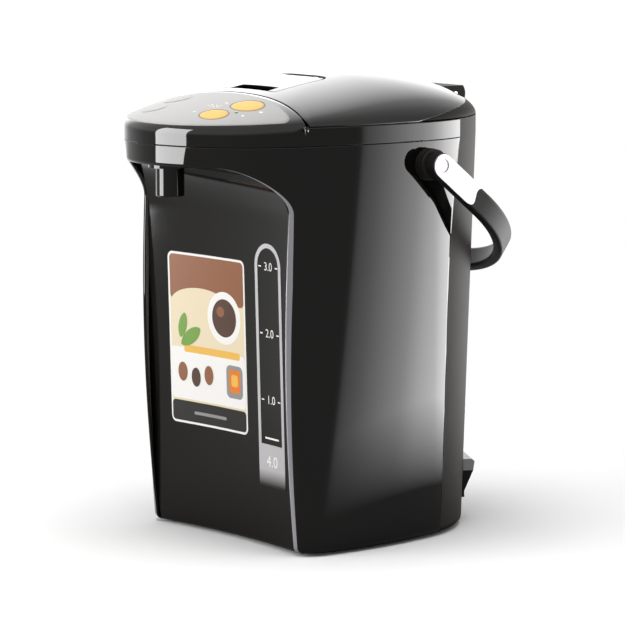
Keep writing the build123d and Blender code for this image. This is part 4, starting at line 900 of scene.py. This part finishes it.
GAUGE_X, LITRE_Z0, LITRE = 55.0, 62.5, 50.0
PRINT_LIFT, FRAME_PRINT_LIFT = 0.05, 0.42
TICK_AWAY, TICK_HALF, TICK_THICK = 10.7, 1.7, 1.0
for litre in (1, 2, 3):
    mark_z = LITRE_Z0 + LITRE * litre
    figures = figure_mesh(f"{litre}.0", 6.2, GAUGE_X, mark_z, PRINT_LIFT)
    ink_piece(f"scale_number_{litre}", *figures, ink_white)
    for side_name, side in (("l", -1), ("r", 1)):
        x = GAUGE_X + side * TICK_AWAY
        tick = rounded(x - TICK_HALF, x + TICK_HALF, mark_z - TICK_THICK / 2, mark_z + TICK_THICK / 2, 0.3)
        panel_patch(f"scale_tick_{litre}_{side_name}", tick, PRINT_LIFT, ink_white, rows=2)
lowest = rounded(GAUGE_X - 9, GAUGE_X + 9, 83.0, 84.4, 0.5)
panel_patch("scale_lowest_mark", lowest, PRINT_LIFT, ink_white, rows=4)
ink_piece("scale_number_4", *figure_mesh("4.0", 8.4, GAUGE_X, 66.0, FRAME_PRINT_LIFT), ink_white)

# %% [markdown]
# ## Deck under the lid
# Seen only with the lid open: a flat ring round the mouth and the bulkhead under the gap.

# %% Deck and bulkhead
def deck_grid():
    """Ring from the mouth's hole out to the head's inner wall or the bulkhead."""
    a = np.linspace(-np.pi, np.pi, 181)[:-1]
    limit = reach(a) - WALL
    ahead = np.where(np.sin(a) < -0.2, 97.5 / np.maximum(-np.sin(a), 0.2), 400.0)
    behind = np.where(np.sin(a) > 0.1, reach(a) - 2 * WALL, 400.0)
    far_side = np.minimum(np.minimum(limit, ahead), behind)
    r = np.stack([np.full_like(a, 90.5), 90.5 + (far_side - 90.5) * 0.5, far_side])
    z = np.full_like(r, 317.4)
    return np.stack([r * np.cos(a), r * np.sin(a), z], -1)


grid_piece("head_deck", deck_grid(), "pot", piano_black, wrap=True, replaces=["head_housing"],
           slot="gloss_black", thick=2.8, outward=Vector((0, 0, 0.2)))
bulk_x = np.linspace(-97, 97, 60)
bulk_t = np.linspace(0, 1, 5)[:, None]
bulk_top = dome_z(bulk_x, gap_y(bulk_x)) - 1.4
bulk_z = 314.6 + (np.maximum(bulk_top, 315.0) - 314.6) * bulk_t
bulk = np.stack(np.broadcast_arrays(bulk_x, gap_y(bulk_x) - 0.2, bulk_z), -1)
grid_piece("head_bulkhead", bulk, "pot", piano_black, replaces=["head_housing"],
           slot="gloss_black", thick=2.0, outward=Vector((0, -0.2, 0.32)))

# %% [markdown]
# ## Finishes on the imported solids
# The pieces that keep their solids get a material each. The gauge's frame is one moulding that
# fades from silver into black at its foot, as the printing on such frames does.

# %% Fading silver and the smoked window
def fading_silver():
    """Silver print above, black below: a ramp over the object's own height."""
    silver, black = "#b4b2b4", "#151311"
    material = plastic("gauge_silver_fading", silver, 0.42, metallic=0.35)
    tree = material.node_tree
    shader = tree.nodes["Principled BSDF"]
    place = add_node(tree, "ShaderNodeTexCoord").outputs["Object"]
    height = add_node(tree, "ShaderNodeSeparateXYZ", {"Vector": place}).outputs["Z"]
    fade_from, fade_to = 0.048, 0.060
    ramp = add_node(tree, "ShaderNodeMapRange", {"Value": height}, {
        "From Min": fade_from, "From Max": fade_to,
    })
    mix = add_node(tree, "ShaderNodeMix", {"Factor": ramp.outputs["Result"]}, data_type="RGBA")
    mix.inputs["A"].default_value = linear(black)
    mix.inputs["B"].default_value = linear(silver)
    tree.links.new(mix.outputs["Result"], shader.inputs["Base Color"])
    return material


gauge_fade = fading_silver()
FINISH = {
    eroded_black: ["rear_cover", "lid_rear_trims", "hinge_block", "lid_detach_lever", "bottom_cover",
                   "hinge_bracket", "inlet_housing", "latch_tray", "key_switches", "pivot_bosses",
                   "swivel_base"],
    handle_black: ["handle"],
    piano_black: ["spout_nozzle"],
    silver_plate_and_edge_sheen: ["handle_plates"],
    gauge_fade: ["gauge_frame"],
    gauge_glass: ["gauge_window"],
    hood_grey: ["inlet_hood"],
    steel: ["inner_container", "heat_shield", "mouth_ring", "lid_inner_plate", "hinge_pin", "flap_pin",
            "support_bracket", "heater_ring", "bottom_screws", "swivel_retainer", "thermistor",
            "pump_motor", "motor_rotor"],
    brass_pin: ["inlet_pins"],
    clear_pipe: ["level_tube"],
    silicone: ["container_seal", "lid_gasket", "outlet_hose", "riser_hose"],
    board_green: ["key_board", "main_board"],
    nylon_white: ["thermal_fuse", "lid_base", "latch_bolt", "steam_valve", "spout_elbow", "tip_valve",
                  "pump_housing", "pump_cover", "impeller", "pump_bracket"],
    lamp_green: ["power_lamp"],
    foot_rubber: ["swivel_mat"],
}
for material, nodes in FINISH.items():
    for node in nodes:
        solid = bpy.data.objects[node]
        solid.data.materials.clear()
        solid.data.materials.append(material)
print("nodes with a finish:", sum(len(nodes) for nodes in FINISH.values()))

# %% [markdown]
# ## Studio
# White floor and background for the camera. Mirrors see a room that is graded by direction: dark
# in front and brightest at the right rear near the horizon. One lamp shows in mirrors only, as
# the pale patch on the nose. Two others light surfaces and stay out of mirrors.

# %% Floor and world
def floor_material():
    """White to the eye, with the pot's soft shadow on it; grey to mirrors and bounce light. Far out
    it fades away, so that its edge never shows."""
    material = bpy.data.materials.new("pale_floor")
    material.use_nodes = True
    tree = material.node_tree
    shader = tree.nodes["Principled BSDF"]
    shader.inputs["Roughness"].default_value = 1.0
    shader.inputs["Specular IOR Level"].default_value = 0.0
    path = add_node(tree, "ShaderNodeLightPath")
    mix = add_node(tree, "ShaderNodeMix", {"Factor": path.outputs["Is Camera Ray"]}, data_type="RGBA")
    mix.inputs["A"].default_value = (FLOOR_BOUNCE, FLOOR_BOUNCE, FLOOR_BOUNCE, 1.0)
    mix.inputs["B"].default_value = (1.0, 1.0, 1.0, 1.0)
    tree.links.new(mix.outputs["Result"], shader.inputs["Base Color"])
    place = add_node(tree, "ShaderNodeTexCoord").outputs["Object"]
    radius = add_node(tree, "ShaderNodeVectorMath", {0: place}, operation="LENGTH").outputs["Value"]
    fade = add_node(tree, "ShaderNodeMapRange", {"Value": radius}, {"From Min": 0.25, "From Max": 0.60})
    clear = add_node(tree, "ShaderNodeBsdfTransparent")
    both = add_node(tree, "ShaderNodeMixShader", {"Fac": fade.outputs["Result"]})
    tree.links.new(shader.outputs["BSDF"], both.inputs[1])
    tree.links.new(clear.outputs["BSDF"], both.inputs[2])
    tree.links.new(both.outputs["Shader"], tree.nodes["Material Output"].inputs["Surface"])
    return material


FLOOR_BOUNCE = 0.25
bpy.ops.mesh.primitive_plane_add(size=2.4, location=(0, 0, 0))
floor = bpy.context.object
floor.name = "studio_floor"
floor.data.materials.append(floor_material())

# brightness of the surroundings in mirrors, by compass direction in degrees from +X
ROOM = [
    (-180, 0.8), (-150, 0.45), (-120, 0.30), (-60, 0.30), (-5, 0.28), (19.5, 0.28), (21.5, 1.2),
    (27, 1.9), (43, 4.6), (50, 6.8), (62, 8.8), (75, 9.0), (95, 7.5), (112, 2.5), (126, 0.7),
    (143, 2.4), (160, 2.0), (180, 0.8),
]
# the same above the horizon, where the left rear is the brightest
SKY = [
    (-180, 1.2), (-150, 1.0), (0, 0.9), (60, 0.7), (100, 0.8), (120, 1.1), (143, 3.2), (165, 2.8),
    (180, 1.2),
]
ROOM_TOP, AMBIENT = 10.0, 0.45
SKY_FROM, SKY_FULL = 0.03, 0.20     # sines of elevation


def compass_ramp(tree, share, table):
    """Grey by compass direction, as a share of the brightest."""
    ramp = add_node(tree, "ShaderNodeValToRGB", {"Fac": share})
    stops = ramp.color_ramp.elements
    while len(stops) < len(table):
        stops.new(0.5)
    for stop, (degrees, level) in zip(stops, table):
        stop.position = (degrees + 180) / 360
        stop.color = (level / ROOM_TOP, level / ROOM_TOP, level / ROOM_TOP, 1.0)
    return ramp.outputs["Color"]


def room_world():
    """World that is white to the camera, evenly grey to diffuse light and graded for mirrors."""
    world = bpy.data.worlds.new("studio")
    world.use_nodes = True
    tree = world.node_tree
    white = tree.nodes["Background"]
    white.inputs["Color"].default_value = (1, 1, 1, 1)
    path = add_node(tree, "ShaderNodeLightPath")
    direction = add_node(tree, "ShaderNodeTexCoord").outputs["Generated"]
    axes = add_node(tree, "ShaderNodeSeparateXYZ", {"Vector": direction})
    compass = add_node(tree, "ShaderNodeMath", {0: axes.outputs["Y"], 1: axes.outputs["X"]},
                       operation="ARCTAN2")
    share = add_node(tree, "ShaderNodeMapRange", {"Value": compass.outputs["Value"]}, {
        "From Min": -math.pi, "From Max": math.pi,
    })
    around, above = (compass_ramp(tree, share.outputs["Result"], stops) for stops in (ROOM, SKY))
    height = add_node(tree, "ShaderNodeMapRange", {"Value": axes.outputs["Z"]}, {
        "From Min": SKY_FROM, "From Max": SKY_FULL,
    })
    seen = add_node(tree, "ShaderNodeMix", {"Factor": height.outputs["Result"]}, data_type="RGBA")
    tree.links.new(around, seen.inputs["A"])
    tree.links.new(above, seen.inputs["B"])
    mirror = add_node(tree, "ShaderNodeBackground", {"Color": seen.outputs["Result"]}, {"Strength": ROOM_TOP})
    soft = add_node(tree, "ShaderNodeBackground", inputs={"Color": (1, 1, 1, 1), "Strength": AMBIENT})
    indirect = add_node(tree, "ShaderNodeMixShader", {"Fac": path.outputs["Is Glossy Ray"]})
    tree.links.new(soft.outputs["Background"], indirect.inputs[1])
    tree.links.new(mirror.outputs["Background"], indirect.inputs[2])
    final = add_node(tree, "ShaderNodeMixShader", {"Fac": path.outputs["Is Camera Ray"]})
    tree.links.new(indirect.outputs["Shader"], final.inputs[1])
    tree.links.new(white.outputs["Background"], final.inputs[2])
    tree.links.new(final.outputs["Shader"], tree.nodes["World Output"].inputs["Surface"])
    return world


bpy.context.scene.world = room_world()


def area(name, place, target, size_x, size_y, watts, in_mirrors):
    """Rectangular soft light that faces a point: it either lights surfaces or shows in mirrors."""
    data = bpy.data.lights.new(name, "AREA")
    data.shape = "RECTANGLE"
    data.size, data.size_y = size_x, size_y
    data.energy = watts
    lamp_object = bpy.data.objects.new(name, data)
    bpy.context.scene.collection.objects.link(lamp_object)
    lamp_object.visible_glossy = in_mirrors
    lamp_object.visible_diffuse = not in_mirrors
    lamp_object.location = place
    lamp_object.rotation_euler = (Vector(target) - Vector(place)).to_track_quat("-Z", "Y").to_euler()
    return lamp_object


area("ceiling_softbox", (0.2, -0.1, 2.2), (0, 0, 0.2), 1.4, 1.4, 30, in_mirrors=False)
NOSE_LAMP_TURN, NOSE_LAMP_AWAY = math.radians(-112), 1.6
beside_nose = NOSE_LAMP_AWAY * Vector((math.cos(NOSE_LAMP_TURN), math.sin(NOSE_LAMP_TURN), 0))
fill_place = beside_nose + Vector((0, -0.08, 0.35))
area("front_fill", fill_place, (0, -0.08, 0.30), 1.0, 1.05, 22, in_mirrors=False)
box_place = beside_nose + Vector((0, -0.08, 0.72))
area("nose_box", box_place, (0, -0.08, 0.72), 1.0, 1.45, 55, in_mirrors=True)

# %% [markdown]
# A long lens a good way off, a little above the pot, in front of it and to its right.

# %% Camera
AIM = Vector((0.0375, -0.0525, 0.172))
AZIMUTH, ELEVATION, DISTANCE = math.radians(50.5), math.radians(7.9), 2.567
camera_data = bpy.data.cameras.new("camera")
camera_data.lens = 196.6
camera_data.sensor_width = 36.0
camera_data.clip_end = 50.0
camera = bpy.data.objects.new("camera", camera_data)
bpy.context.scene.collection.objects.link(camera)
camera.location = AIM + DISTANCE * Vector((
    math.sin(AZIMUTH) * math.cos(ELEVATION), -math.cos(AZIMUTH) * math.cos(ELEVATION), math.sin(ELEVATION)))
camera.rotation_euler = (AIM - camera.location).to_track_quat("-Z", "Y").to_euler()
bpy.context.scene.camera = camera
bpy.context.scene.view_settings.view_transform = "Standard"
